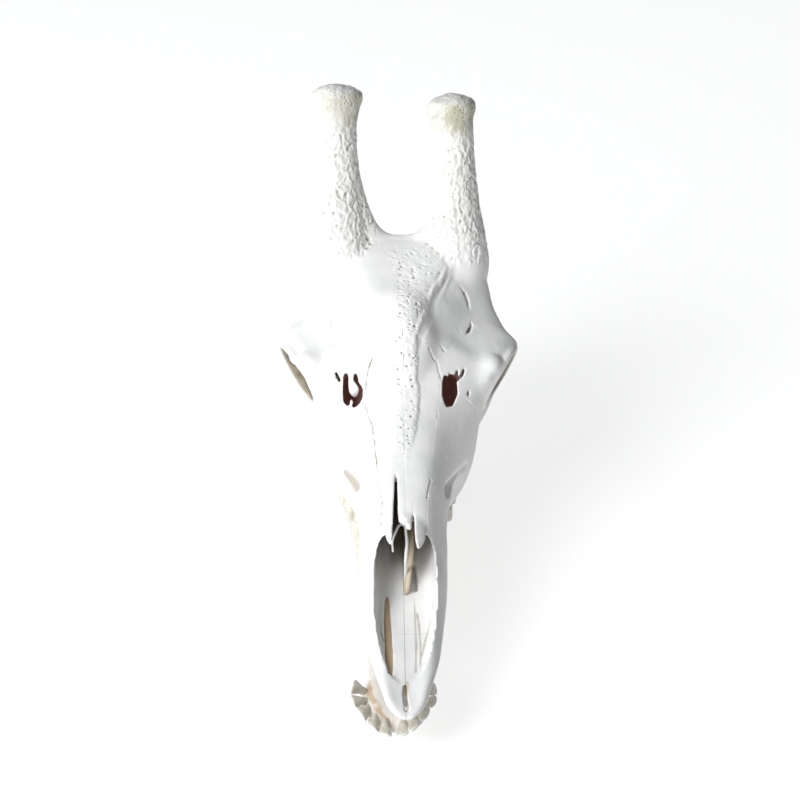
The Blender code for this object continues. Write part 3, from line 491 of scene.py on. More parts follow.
# %% Forehead, bump and braincase
# Section of the forehead: height on the midline, then (x, h) of the raised ridge beside it, of the hollow
# over the eye, of the brow's edge and of its underside, then the height of the plate's own underside.
FOREHEAD = (
    (344, 164, (20, 162), (42, 150), (64, 136), (50, 122), 132),
    (360, 181, (20, 178), (50, 158), (82, 147), (70, 130), 140),
    (380, 197, (20, 193), (56, 168), (101, 154), (88, 136), 146),
    (398, 207, (21, 203), (61, 175), (115, 153), (100, 138), 150),
    (410, 212, (24, 209), (66, 179), (123, 149), (107, 136), 154),
    (420, 215, (28, 213), (70, 182), (127, 146), (112, 130), 157),
    (432, 217, (33, 215), (73, 185), (117, 150), (102, 134), 160),
    (452, 223, (44, 221), (78, 196), (104, 163), (89, 146), 162),
    (474, 229, (54, 226), (84, 208), (96, 182), (80, 156), 164),
    (502, 229, (56, 224), (78, 206), (88, 184), (68, 152), 160),
    (532, 212, (42, 206), (60, 190), (72, 164), (56, 138), 150),
    (562, 188, (32, 182), (48, 168), (62, 142), (50, 116), 130),
    (590, 162, (24, 156), (36, 146), (50, 126), (40, 104), 110),
)

# Section of the braincase: height on the midline, (x, h) of its widest place, height of its floor.
BRAINCASE = (
    (366, 150, (27, 112), 66),
    (400, 168, (34, 116), 54),
    (440, 178, (44, 120), 47),
    (480, 192, (54, 124), 43),
    (520, 196, (61, 122), 41),
    (556, 186, (64, 114), 41),
    (586, 164, (62, 104), 42),
    (603, 146, (54, 98), 48),
    (609, 132, (42, 94), 58),
)
BUMP = ((4, 386, 172), (36, 62, 34), 35)

rings = []
for s, top, *rest in section_rows(FOREHEAD):
    half = [(0, top), *zip(rest[0:8:2], rest[1:8:2]), (0, rest[8])]
    rings.append(upright(s, ring(half)))
loft("forehead", rings, forms)
rings = []
for s, top, wide, middle, low in section_rows(BRAINCASE):
    shoulder = (wide * 0.72, middle + (top - middle) * 0.72)
    hip = (wide * 0.74, middle - (middle - low) * 0.66)
    rings.append(upright(s, ring(((0, top), shoulder, (wide, middle), hip, (0, low)))))
loft("braincase", rings, forms)
centre, radii, tip = BUMP
ball("bump", centre, radii, forms, Matrix.Rotation(math.radians(tip), 4, "X"))

# %% [markdown]
# ## Orbits, cheek arches and the back of the skull
#
# Bars make everything that stands free: the rims of the orbits are rings, the bar behind each eye and the
# cheek arch are tubes along a path, and so is the crest at the nape. Their ends are buried in the bone.

# %% Rims, arches, crest and condyles
# Orbit: its rim is a ring round this centre, which faces outwards, a little forwards and downwards.
ORBIT = (105.7, 399.0, 121.0)
ORBIT_FORWARDS = math.radians(26)
ORBIT_DOWNWARDS = math.radians(19)
ORBIT_RIM = 35.0
ORBIT_RIM_THICK = 4.5
ORBIT_HOLLOW = (60, 25.0, 30.5)
ORBIT_BACK = 6.5
# Walls that close the orbit in front, at its upper corner under the brow, and behind, in its own frame:
# middle (out, back, up) and radii.
ORBIT_WALLS = (
    ("orbit_front", (-9, -34, 2), (10, 17, 33)),
    ("orbit_corner", (-10, -25, 31), (11, 14, 10)),
    ("orbit_back", (-24, 30, -6), (24, 9, 30)),
)
CHEEKBONE = ((59, 330, 58, 8, 12), (72, 366, 74, 8, 13), (91, 396, 83, 6, 11), (104, 428, 88, 5, 10))
ARCH = (
    (100, 420, 88, 5, 10),
    (106, 462, 91, 5, 9),
    (101, 498, 94, 6, 9),
    (86, 528, 95, 9, 10),
    (58, 548, 96, 10, 14),
)
BAR_BEHIND_EYE = ((119, 421, 148, 5, 8), (120, 432, 126, 4, 8), (112, 437, 104, 4, 8), (102, 436, 88, 4, 9))
NAPE_CREST = ((62, 570, 96, 5, 8), (56, 586, 124, 6, 8), (34, 600, 146, 7, 8), (0, 605, 155, 8, 9))
CONDYLE = ((23, 610, 60), (15, 17, 22), 0, 0)
THROAT_SPUR = ((50, 582, 76, 13, 11), (50, 588, 40, 9, 7), (46, 591, 8, 4, 4))
EAR_BULB = ((38, 560, 40), (11, 20, 17), 0, 0)
EAR_TUBE = ((50, 558, 82, 10, 10), (76, 553, 90, 8, 8))
# Bony blade beside the throat, as an outline of (s, h), its thickness and its x.
THROAT_BLADE = ((366, 56), (372, 22), (386, 2), (410, -2), (430, 6), (446, 26), (462, 56))
THROAT_BLADE_THICK = 6.0
THROAT_BLADE_X = 25.0


def orbit_frame(side):
    """Place of an orbit on one side, with its first axis pointing out of it."""
    level = math.cos(ORBIT_DOWNWARDS)
    aside, forwards = side * math.cos(ORBIT_FORWARDS) * level, math.sin(ORBIT_FORWARDS) * level
    out = Vector((aside, -forwards, -math.sin(ORBIT_DOWNWARDS)))
    middle = Vector((ORBIT[0] * side, *ORBIT[1:])) * MM
    return Matrix.Translation(middle) @ out.to_track_quat("X", "Z").to_matrix().to_4x4()


for side, word in SIDES:
    for name, (out, aft, above), radii in ORBIT_WALLS:
        wall = ball(f"{name}_{word}", (0, 0, 0), radii, forms)
        wall.data.transform(orbit_frame(side) @ Matrix.Translation(Vector((out, side * aft, above)) * MM))
both_tubes("cheekbone", CHEEKBONE, forms)
both_tubes("arch", ARCH, forms)
both_tubes("bar_behind_eye", BAR_BEHIND_EYE, forms, side=ACROSS)
for side, word in SIDES:
    shape = {"major_segments": 96, "minor_segments": 24}
    radius = {"major_radius": ORBIT_RIM * MM, "minor_radius": ORBIT_RIM_THICK * MM}
    bpy.ops.mesh.primitive_torus_add(**shape, **radius)
    rim = bpy.context.object
    rim.name = f"orbit_rim_{word}"
    rim.data.transform(orbit_frame(side) @ Matrix.Rotation(math.pi / 2, 4, "Y"))
    for held in list(rim.users_collection):
        held.objects.unlink(rim)
    forms.objects.link(rim)
far_half = [np.array(row) * (-1, 1, 1, 1, 1) for row in NAPE_CREST[-2::-1]]
tube("nape", [*NAPE_CREST, *far_half], forms, side=ACROSS)
both_balls("condyle", CONDYLE, forms)
both_tubes("throat_spur", THROAT_SPUR, forms, side=ACROSS)
both_balls("ear_bulb", EAR_BULB, forms)
both_tubes("ear_tube", EAR_TUBE, forms)
both_plates("throat_blade", THROAT_BLADE, THROAT_BLADE_THICK, forms, lambda s, h: THROAT_BLADE_X + 0 * s)

# %% [markdown]
# ## Ossicones
#
# A giraffe's horns are ossicones: bone from root to knob, never shed. Each is a bar of changing thickness
# along an axis from the forehead to the knob, and they aren't quite alike, so each has an axis of its own.
# A saddle of bone fills the angle between their feet; its top is a smooth bay.

# %% Ossicones and the saddle between them
OSSICONE_FOOT = (62.0, 484.0, 196.0)
OSSICONE_TIP = {1: (53.5, 576.0, 364.0), -1: (72.0, 580.0, 371.0)}
OSSICONE_GIRTH = {1: (1.04, 0.95), -1: (1.0, 1.0)}
KNOB_START = 0.82
OSSICONE_BEND = {1: -4.0, -1: 0.0}
BEND_START = 0.55
OSSICONE_RADII = (
    (-0.16, 12.0),
    (-0.06, 28.0),
    (0.06, 33.0),
    (0.18, 30.5),
    (0.32, 26.0),
    (0.5, 22.0),
    (0.7, 20.6),
    (0.80, 21.4),
    (0.86, 24.2),
    (0.90, 27.2),
    (0.925, 28.2),
    (0.95, 26.6),
    (0.97, 22.6),
    (0.985, 17.0),
    (0.995, 10.0),
    (1.0, 4.0),
)
SADDLE_FOOT = (497.0, 214.0)
SADDLE_REACH = 46.0
SADDLE_RISE = 70.0
SADDLE_SINK = 36.0
SADDLE_THICK = 30.0
SADDLE_POWER = 3.0


def ossicone_axis(side):
    """Foot of an ossicone and the vector from it to the knob's tip."""
    foot = np.array(OSSICONE_FOOT) * (side, 1, 1)
    return foot, np.array(OSSICONE_TIP[side]) * (side, 1, 1) - foot


for side, word in SIDES:
    foot, axis = ossicone_axis(side)
    shares, radii = np.array(OSSICONE_RADII).T
    shaft, knob = OSSICONE_GIRTH[side]
    radii = radii * np.where(shares > KNOB_START, knob, shaft)
    path = np.column_stack([foot + axis * shares[:, None], radii, radii * 0.96])
    path[:, 0] += OSSICONE_BEND[side] * np.clip((shares - BEND_START) / (1 - BEND_START), 0, 1)
    tube(f"horn_{word}", path, forms, around=64, step=2.5, side=ACROSS)
lean = np.subtract(OSSICONE_TIP[1], OSSICONE_FOOT)[1:]
lean /= np.linalg.norm(lean)
thick_way = np.array((lean[1], -lean[0]))
turn = np.linspace(0, 2 * math.pi, 48, endpoint=False)[:, None]
rings = []
for x in np.linspace(-SADDLE_REACH, SADDLE_REACH, 47):
    rise = SADDLE_SINK + SADDLE_RISE * abs(x / SADDLE_REACH) ** SADDLE_POWER
    middle = np.array(SADDLE_FOOT) + lean * (rise - SADDLE_SINK) / 2
    points = middle + lean * np.sin(turn) * rise / 2 + thick_way * np.cos(turn) * SADDLE_THICK / 2
    rings.append(np.column_stack([np.full(len(turn), x), points]))
loft("saddle", rings, forms)

# %% [markdown]
# ## Hollows
#
# The openings are cut rather than modelled: the passage of the nose, the open nostril in front of it, the
# orbits, the hollows at the temples and the hole for the spinal cord. A cut keeps the bone's own thickness
# round the opening, where a modelled rim would have to be fitted to it.

# %% Cutters for the openings
# The nasal passage under the roof: half-width, floor and roof heights.
PASSAGE = (
    (156, 31, 14, 77),
    (180, 31, 15, 77),
    (205, 30, 16, 79),
    (240, 31, 18, 94),
    (272, 33, 20, 108),
    (305, 35, 24, 126),
    (335, 38, 36, 145),
    (354, 36, 60, 158),
)

# The open roof of the nose in front of the nasal bones: half-width and floor height, and a height above it.
NOSTRIL_TOP = 150
NOSTRIL = (
    (38, 4, 9.4),
    (48, 12, 9.2),
    (62, 19, 9.6),
    (90, 25.5, 10.5),
    (120, 29.5, 12),
    (150, 30.5, 13),
    (162, 29, 14),
)
# Slot through the palate beside the middle, on the skull's right: x and s of the middle, and half-width.
PALATE_SLOT = ((-10.0, 54, 1.8), (-10.6, 66, 3.2), (-11.2, 104, 3.8), (-12.0, 134, 3.4), (-12.0, 166, 1.8))
PALATE_SLOT_HEIGHTS = (-10, 30)
# Hollow in the palate beside the vomer's foot, seen from above, and the heights it is cut between.
VOMER_HOLLOW = ((12.1, 214), (17.3, 214), (19.4, 175), (10.6, 173.5))
VOMER_HOLLOW_HEIGHTS = (9.0, 30.0)
CHEEK_HOLLOW = (
    (42, 256, 80, 3, 6), (47, 266, 74, 6, 9), (54, 284, 68, 7, 9), (62, 300, 66, 6, 8), (71, 318, 65, 4, 6),
)
TEMPLE = ((98, 470, 122), (38, 44, 34), 0, 0)
THROAT = ((0, 404, 16), (18, 34, 18))
NECK_HOLE = ((0, 616, 64), (16, 30, 15))

rings = []
for s, wide, low, high in section_rows(PASSAGE):
    half = ((0, high), (wide * 0.7, high - 4), (wide, (low + high) / 2), (wide * 0.86, low + 2), (0, low))
    rings.append(upright(s, ring(half)))
loft("passage", rings, cutters)
rings = []
for s, wide, low in section_rows(NOSTRIL):
    half = ((0, NOSTRIL_TOP), (wide, NOSTRIL_TOP), (wide, low + 9), (wide * 0.85, low), (0, low))
    rings.append(upright(s, mirrored(half)))
loft("nostril", rings, cutters)
for side, word in SIDES:
    hollow = ball(f"orbit_{word}", (0, 0, 0), ORBIT_HOLLOW, cutters)
    hollow.data.transform(orbit_frame(side) @ Matrix.Translation(Vector((0, side * ORBIT_BACK, 0)) * MM))
both_tubes("cheek_hollow", CHEEK_HOLLOW, cutters)
both_balls("temple", TEMPLE, cutters)
ball("throat", *THROAT, cutters)
ball("neck_hole", *NECK_HOLE, cutters)

# %% Fused head
head = grown_together("head", bent(forms), bent(cutters))
print("head of", len(head.data.vertices), "points")

# %% [markdown]
# ## The lower jaw
#
# The two halves of the jaw meet at the chin. Each is a long body and an upright branch: the body is another
# stack of sections, the branch a plate cut to its outline that leans outwards, the joint a crossways ball.

# %% Lower jaw
# Lower jaw: chin section half-width, top and bottom heights.
CHIN = (
    (26, 14, -36, -41),
    (32, 22, -34, -46),
    (40, 28, -32, -52),
    (54, 32, -31, -60),
    (74, 32, -32, -67),
    (90, 31, -33, -71),
    (105, 28, -35, -73),
    (120, 25, -38, -75),
    (132, 25, -42, -71),
)
# Lower jaw: each side's body as x of the middle, half-thickness, top and bottom heights.
JAW_BODY = (
    (100, 11, 8.5, -37, -72),
    (150, 16.5, 9, -37, -74),
    (200, 22, 8.5, -33, -76),
    (260, 26, 9, -29, -79),
    (320, 32, 9.5, -28, -84),
    (372, 37.5, 9.5, -27, -89),
    (404, 42.5, 8, -30, -93),
    (430, 47.5, 6, -40, -96),
)
# Lower jaw: outline of the upright branch, (s, h), its thickness, and its x at its lowest and highest.
BRANCH = (
    (392, -36), (406, -6), (422, 30), (438, 66), (449, 98), (458, 120), (468, 134), (480, 141), (487, 136),
    (482, 120), (483, 101), (492, 84), (505, 74), (520, 74), (528, 68), (526, 52), (518, 30), (513, 2),
    (511, -26), (513, -52), (508, -78), (496, -95), (474, -100), (440, -97), (410, -93), (392, -89),
)
BRANCH_THICK = 9.0
# The branch leans out: s of its start, its x there on the jaw's lower edge, and what is added for each mm
# back and up.
BRANCH_START = 400
BRANCH_LEAN = (42.5, 0.20, 0.055)
# The dry jaw lies a little askew, turned about its joints.
JAW_SWING = math.radians(0.7)
JAW_JOINT = (77.0, 520.0, 72.0)
JAW_JOINT_RADII = (22.0, 9.0, 9.0)
JOINT_NECK = ((68, 510, 20, 6, 9), (71, 515, 46, 7, 9), (76, 519, 70, 11, 8))

rings = []
for s, wide, top, low in section_rows(CHIN):
    half = ((0, top), (wide * 0.7, top + 1), (wide, (top + low) / 2 + 2), (wide * 0.6, low + 3), (0, low))
    rings.append(upright(s, ring(half)))
loft("chin", rings, forms)
turn = np.linspace(0, 2 * math.pi, 72, endpoint=False)
for side, word in SIDES:
    rings = []
    for s, middle, thick, top, low in section_rows(JAW_BODY):
        x = middle + thick * np.sign(np.cos(turn)) * abs(np.cos(turn)) ** 0.8
        h = (top + low) / 2 + (top - low) / 2 * np.sign(np.sin(turn)) * abs(np.sin(turn)) ** 0.7
        rings.append(upright(s, np.column_stack([side * x, h])))
    loft(f"jaw_body_{word}", rings, forms)


def branch_x(s, h):
    """How far from the middle the leaning branch stands at each place."""
    near, per_back, per_up = BRANCH_LEAN
    return near + per_back * (s - BRANCH_START) + per_up * (h - ANGLE_H)


both_plates("branch", BRANCH, BRANCH_THICK, forms, branch_x)
both_balls("jaw_joint", (JAW_JOINT, JAW_JOINT_RADII, 0, 0), forms)
both_tubes("joint_neck", JOINT_NECK, forms, side=ACROSS)
jaw = grown_together("jaw", forms, cutters)
print("jaw of", len(jaw.data.vertices), "points")

# %% [markdown]
# ## Small openings
#
# The face of a giraffe has gaps in front of each orbit, where four bones fail to meet, with an air-filled
# hollow behind them. A gap is a line of short rods that point into the bone, and the tight skin round two
# neighbouring rods is one cutter, so a gap can bend and change its width as it likes. The same cutters make
# the grooves that blood vessels left over the eyes and the notch in the tip of the snout. The lines were
# placed one by one on this skull, so they differ from side to side.

# %% Blades for gaps, grooves and the notch
INWARDS = (0.03, 0.80, -0.60)
ROD_SIDES = 16
SINUSES = {1: ((47, 358, 129), (20, 17, 20)), -1: ((-43.5, 358, 129), (20, 17, 20))}
SINUS_DOOR = ((33, 352, 118), (12, 14, 14))
SINUS_DOOR_OFF = 2.5
# Rows are x, s, h, half-width and depth.
GAPS = (
    ((-67, 358, 152.5, 1.4, 14), (-65, 355, 149.5, 1.6, 16), (-63, 352, 146.5, 1.4, 16)),
    (
        (-56.5, 357, 152, 1.6, 14), (-56.5, 355, 149.5, 2.8, 16), (-56.4, 350, 140.6, 3.1, 17),
        (-55.7, 346, 133, 3.8, 17), (-55, 343, 128, 3.8, 16), (-54, 341, 125.5, 2.4, 15),
    ),
    ((-54.5, 347, 136, 1.2, 15), (-50, 344, 131.5, 1.8, 16), (-45.7, 342, 128.6, 2.6, 16)),
    (
        (-46.4, 356, 152, 1.8, 14), (-46.1, 353, 148.5, 2.9, 16), (-44.4, 351, 145, 1.7, 16),
        (-41.8, 348, 143, 1.9, 16), (-40.4, 346, 139, 2.3, 16),
    ),
    (
        (-40.4, 346, 139.5, 2.2, 16), (-41.8, 343, 133, 3.4, 17), (-44.8, 341, 128, 3.8, 17),
        (-47.4, 339, 124.5, 2.2, 15),
    ),
    ((47, 354, 152, 2.4, 15), (47, 350, 147, 3.6, 17), (48, 344, 137, 4.6, 18), (50, 339, 129, 3.4, 16)),
    ((54, 355, 153, 2.2, 15), (55, 352, 147, 4.0, 17), (55.5, 347, 137, 4.8, 18), (53, 341, 128, 3.2, 16)),
    ((51.5, 357, 157, 1.2, 14), (51, 354, 152, 1.6, 16), (51, 350, 146, 2.6, 16)),
    ((59.5, 359, 158, 1.3, 14), (58, 356, 153, 2.0, 16), (57, 353, 148, 2.0, 16)),
    ((66, 361, 157, 1.6, 10), (64, 358, 152, 1.8, 12), (59, 355, 148, 1.6, 14)),
    ((45.5, 338, 132, 1.4, 6), (44, 333, 129, 1.3, 6), (41, 324, 130, 1.1, 5), (37.8, 311, 131.5, 0.7, 4)),
)
GROOVES = (
    ((-30, 409, 206, 0.6, 2), (-35, 402, 198, 1.0, 2.5), (-38, 396, 192, 0.9, 2.5), (-41, 389, 185, 0.6, 2)),
    ((60.8, 447, 207, 0.7, 3), (66.3, 445, 200.6, 1.1, 4), (71, 438.6, 192, 1.7, 5), (74, 428, 185, 0.8, 3)),
    (
        (75.2, 420, 179, 0.8, 3), (74.8, 414, 176.5, 1.4, 4.5), (72.6, 408, 174.6, 1.8, 6),
        (69, 401.5, 173, 0.8, 3),
    ),
    (
        (41, 376, 179, 0.8, 2.5), (45, 369.6, 174.7, 1.1, 3), (51.4, 376, 175.4, 1.0, 3),
        (58, 392, 173.6, 0.7, 2),
    ),
    ((-16, 212, 88, 0.9, 1.6), (-19, 190, 78, 0.9, 1.6)),
)
TIP_NOTCH = ((4.2, 40, 9, 1.5, 7), (4.0, 29, 8, 2.0, 9), (4.6, 20, 7.5, 2.0, 9), (5.4, 11, 6.5, 2.2, 9))
# Small holes for nerves and vessels: middle, radius, and how much longer than wide their cutters are.
HOLES = (
    ((-88, 368, 151), 1.4),
    ((71, 347, 137), 1.6),
    ((61.7, 403, 177), 1.1),
    ((-44.6, 274, 72), 2.6),
    ((49, 274, 72), 2.6),
    ((-66.5, 391, 172), 0.9),
    ((-48, 421, 196), 0.8),
)
HOLE_LONG = 2.5


def wrapped(name, points, into):
    """The tightest closed skin round a cloud of points."""
    shape = bmesh.new()
    for point in points:
        shape.verts.new(Vector(point) * MM)
    bmesh.ops.convex_hull(shape, input=shape.verts)
    bmesh.ops.delete(shape, geom=[point for point in shape.verts if not point.link_faces], context="VERTS")
    bmesh.ops.recalc_face_normals(shape, faces=shape.faces)
    mesh = bpy.data.meshes.new(name)
    shape.to_mesh(mesh)
    shape.free()
    made = bpy.data.objects.new(name, mesh)
    into.objects.link(made)
    return made


def blades(name, lines, into):
    """Cutters that follow lines of rows: each row is a short rod that points inwards, away from a viewer in
    front, and the tight skin round two neighbouring rods is one cutter."""
    inwards = np.array(INWARDS)
    across = np.array((1.0, 0.0, 0.0)) - inwards * inwards[0]
    up = np.cross(inwards, across)
    turn = np.linspace(0, 2 * math.pi, ROD_SIDES, endpoint=False)[:, None]
    circle = across * np.cos(turn) + up * np.sin(turn)
    for number, line in enumerate(lines):
        rods = []
        for x, s, h, wide, deep in line:
            ends = [(x, s, h) + circle * wide + inwards * reach for reach in (-deep, deep)]
            rods.append(np.vstack(ends))
        for step, pair in enumerate(zip(rods[:-1], rods[1:])):
            wrapped(f"{name}_{number}_{step}", np.vstack(pair), into)


x, s, wide = section_rows([(s, x, wide) for x, s, wide in PALATE_SLOT]).T[[1, 0, 2]]
low, high = PALATE_SLOT_HEIGHTS
corners = ((-1, low), (1, low), (1, high), (-1, high))
rings = [[(a + way * c, b, h) for way, h in corners] for a, b, c in zip(x, s, wide)]
loft("palate_slot", rings, cutters)
loft("vomer_hollow", [[(x, s, h) for x, s in VOMER_HOLLOW] for h in VOMER_HOLLOW_HEIGHTS], cutters)
blades("gap", GAPS, cutters)
blades("groove", GROOVES, cutters)
blades("tip_notch", [TIP_NOTCH], cutters)
for number, (middle, radius) in enumerate(HOLES):
    ball(f"hole_{number}", middle, (radius, HOLE_LONG * radius, HOLE_LONG * radius), cutters)
for side, (middle, radii) in SINUSES.items():
    ball(f"sinus_{side}", middle, radii, cutters)
    middle, radii = SINUS_DOOR
    ball(f"sinus_door_{side}", (side * middle[0] + SINUS_DOOR_OFF, *middle[1:]), radii, cutters)

# %% [markdown]
# ## Easing the forehead
#
# Where the sections, the bump and the orbits' rims were fused, faint creases are left that no bone has. The
# skin between the brows is softened: each point moves half way to the mean of its neighbours, many times,
# by a share that fades out towards the rims.

# %% Ease the forehead
EASE_ROUNDS = 36


def softened(points, edges, rounds):
    """Points after each has moved, again and again, half way to the mean of its neighbours."""
    first, second = edges.T
    count = np.bincount(edges.ravel(), minlength=len(points)).clip(1)[:, None]
    for _ in range(rounds):
        total = np.empty_like(points)
        for axis in range(3):
            total[:, axis] = np.bincount(first, points[second, axis], len(points))
            total[:, axis] += np.bincount(second, points[first, axis], len(points))
        points = (points + total / count) / 2
    return points


def smooth(low, high, value):
    """0 below low, 1 above high and t²(3 − 2t) between; it falls where low is above high."""
    t = np.clip((value - low) / (high - low), 0, 1)
    return t * t * (3 - 2 * t)


def mesh_array(mesh, what):
    """Places of the vertices, their normals or the edges' ends, as an array with a row for each."""
    source, key, width, kind = {
        "place": (mesh.vertices, "co", 3, float),
        "normal": (mesh.vertex_normals, "vector", 3, float),
        "edge": (mesh.edges, "vertices", 2, int),
    }[what]
    values = np.empty(len(source) * width, kind)
    source.foreach_get(key, values)
    return values.reshape(-1, width)


place = mesh_array(head.data, "place") / MM
x, s, h = place.T
ease = smooth(108, 88, abs(x)) * smooth(322, 345, s) * smooth(480, 455, s) * smooth(128, 140, h)
eased = softened(place, mesh_array(head.data, "edge"), EASE_ROUNDS)
place += (eased - place) * ease[:, None]
head.data.vertices.foreach_set("co", (place * MM).ravel())
head.data.update()
print("eased", int((ease > 0.5).sum()), "points")

# %% [markdown]
# ## The broken edge of the nasal bones
#
# The nasal bones end in prongs with deep notches between them. Their front edge is a line of points seen
# from above, and everything in front of it is cut away.

# %% Cut the nasal edge
NASAL_EDGE = (
    (-19, 140), (-18.5, 184), (-16.5, 186), (-13.8, 179), (-11.5, 173.5), (-9.2, 171.5), (-8.4, 179),
    (-8.2, 190), (-7.6, 204), (-6.8, 224), (-5.6, 246), (-4.6, 256), (-3.6, 248), (-2.9, 228), (-2.7, 214),
    (-1.8, 204), (0, 203), (2.4, 201), (4, 204), (4.8, 197), (5.6, 192.5), (7.6, 192.5), (9.3, 190),
    (11.0, 195), (12.0, 210), (12.8, 238), (13.7, 238), (14.0, 210), (14.0, 190), (14.5, 174), (16, 166),
    (17.6, 163), (20, 168.5), (23, 175), (25.5, 181), (27.4, 186), (27.8, 140),
)
NASAL_EDGE_HEIGHTS = (72.0, 112.0)
rings = [[(x, s, h) for x, s in NASAL_EDGE] for h in NASAL_EDGE_HEIGHTS]
loft("nasal_edge", rings, cutters)
combined(head, "DIFFERENCE", cutters)
head = main_part(even_skin(head, FINE_GRAIN, 2))
jaw = main_part(even_skin(jaw, FINE_GRAIN, 2))
print("fine head of", len(head.data.vertices), "points, jaw of", len(jaw.data.vertices))

# %% [markdown]
# ## Random fields
#
# Bone is never smooth. Two random fields give its roughness: a smooth one, whose value is blended between
# the random corners of a lattice, and one of pits, the distance to the nearest of one random spot in each
# cell of a lattice. Both come from a fixed table of random numbers, so the bone is the same each time.

# %% Noise and pits
LATTICE = 64
draw = np.random.default_rng(17)
CORNERS = draw.random((LATTICE, LATTICE, LATTICE)) * 2 - 1
SPOTS = draw.random((LATTICE, LATTICE, LATTICE, 3))


def noise(points, size):
    """Smooth random field from −1 to 1 with lumps of a size in mm."""
    q = points / size + 31.7
    cell = np.floor(q).astype(int)
    f = q - cell
    f = f * f * (3 - 2 * f)
    total = np.zeros(len(points))
    for corner in itertools.product((0, 1), repeat=3):
        weight = np.prod(np.where(corner, f, 1 - f), axis=1)
        total += weight * CORNERS[tuple(((cell + corner) % LATTICE).T)]
    return total


def spots(points, size):
    """Distance to the nearest random spot, in cells of a size in mm."""
    q = points / size
    cell = np.floor(q).astype(int)
    nearest = np.full(len(points), 3.0)
    for step in itertools.product((-1, 0, 1), repeat=3):
        spot = cell + step
        gap = np.linalg.norm(spot + SPOTS[tuple((spot % LATTICE).T)] - q, axis=1)
        nearest = np.minimum(nearest, gap)
    return nearest


def near_line(points, line):
    """Distance of each point from a bent line, in mm."""
    line = np.asarray(line, float)
    nearest = np.full(len(points), 1e3)
    for start, end in zip(line[:-1], line[1:]):
        way = end - start
        share = np.clip((points - start) @ way / (way @ way), 0, 1)
        nearest = np.minimum(nearest, np.linalg.norm(points - start - share[:, None] * way, axis=1))
    return nearest


# %% [markdown]
# ## Weathering
#
# The skin is moved along its normals by the fields, each within its own region: worm-like ridges and pits on
# the fronts of the ossicones, knobbly ends, a pitted strip along the middle of the face with a step down on
# one side, and fine open sutures. Painting a height map would need a flat layout of the skull first; working
# from each point's place needs none.

# %% Fields on the ossicones
HORN_ROUGH = (0.02, 0.10, 0.66, 0.86)
KNOB_LUMPS = (0.80, 0.90)


def horn_place(points):
    """Share of the way up the nearest ossicone, distance from its axis and the way out from the axis."""
    share, off, out = np.full(len(points), -9.0), np.full(len(points), 999.0), np.zeros((len(points), 3))
    for side, _ in SIDES:
        foot, axis = ossicone_axis(side)
        foot = foot + (drift([foot[1]])[0], 0, 0)
        along = (points - foot) @ axis / (axis @ axis)
        away = points - foot - along[:, None] * axis
        gap = np.linalg.norm(away, axis=1)
        closer = gap < off
        share[closer], off[closer], out[closer] = along[closer], gap[closer], away[closer]
    return share, off, out / np.maximum(off, 1e-6)[:, None]


def horn_field(points, normals):
    """How far the ossicones' skin moves out: ridges and pits up the shaft, stronger in front, and lumps on
    the knob."""
    share, off, _ = horn_place(points)
    start, full, fade, end = HORN_ROUGH
    held = (off < 42) & (share > start - 0.1)
    move = np.zeros(len(points))
    p, n, t = points[held], normals[held], share[held]
    front = smooth(-0.35, 0.35, -n[:, 1] * 0.8 + n[:, 2] * 0.3)
    shaft = smooth(start, full, t) * (0.25 + 0.75 * smooth(end, fade, t)) * (0.25 + 0.75 * front)
    long = p * (1, 0.62, 0.62)
    warped = long + 2.2 * np.column_stack([noise(p + shift, 7.0) for shift in (0, 90, 180)])
    worms = 1 - 2.8 * np.abs(noise(warped, 4.4))
    holes = smooth(0.48, 0.20, spots(warped, 5.0))
    small = smooth(0.45, 0.20, spots(warped, 2.9))
    high = smooth(0.08, 0.30, t)
    rough = 0.85 * np.maximum(worms, -0.5) - (0.5 + 0.6 * high) * holes - 0.45 * high * small - 0.2
    knob = smooth(*KNOB_LUMPS, t)
    lumps = 0.8 * noise(p, 9.0) + 0.55 * noise(p, 4.2) - 1.0 * smooth(0.42, 0.15, spots(p, 3.6)) - 0.35
    flutes = 0.5 * noise(p * (1, 0.2, 0.2), 3.4)
    foot = (1 - knob) * (1 - shaft) * flutes * smooth(0, 0.1, t)
    move[held] = shaft * (1 - knob) * rough + knob * lumps + foot
    return move


# %% Fields on the face
# The pitted strip along the face at each s: x of its middle and half its width.
STRIP = (
    (250, 3, 3), (272, 4, 6), (320, 7, 10), (361, 4, 14), (390, 10, 14), (414, 13, 18), (434, 18, 22),
    (459, 16, 26), (480, 10, 26),
)
# The step down beside it: its x at each s.
PAD_EDGE = ((250, 2), (272, 9.6), (320, 17.8), (361, 16), (390, 23.5), (414, 30), (434.6, 40), (459.5, 56.5))
FLUTE_ACROSS, FLUTE_ALONG = np.array((0.94, -0.34, 0)), np.array((0.34, 0.94, 0))
# Open sutures, as lines of points.
SUTURES = (
    ((-62, 353, 149), (-65, 355, 149), (-75, 358, 147.5), (-85.7, 367, 146), (-96, 370, 140)),
    ((68, 357, 150), (83.8, 362, 144), (95, 370, 140)),
    ((-22, 372, 186), (-26, 365, 178), (-31, 355, 168.5), (-34, 346, 160), (-36, 335, 149)),
    ((26, 365, 188), (30, 359, 181), (37.6, 357, 169), (42, 345, 158)),
    (
        (-35.5, 322, 137), (-32.4, 312, 132), (-28.2, 300, 126), (-26.5, 288, 119), (-25.5, 280, 115.5),
        (-24.4, 268, 109.4), (-22.8, 255, 104), (-21.7, 243, 99),
    ),
    ((-21.7, 243, 99), (-28.6, 241.6, 89.6), (-35.4, 240.8, 74.3)),
    ((-20.2, 235.4, 96), (-18.7, 221.5, 90.4), (-19.1, 211, 84.6)),
    ((-22, 207.4, 79.7), (-19.1, 199.4, 78.6), (-19, 192, 74.3)),
    ((31.2, 247.5, 100.3), (26.9, 227.6, 94.1)),
)
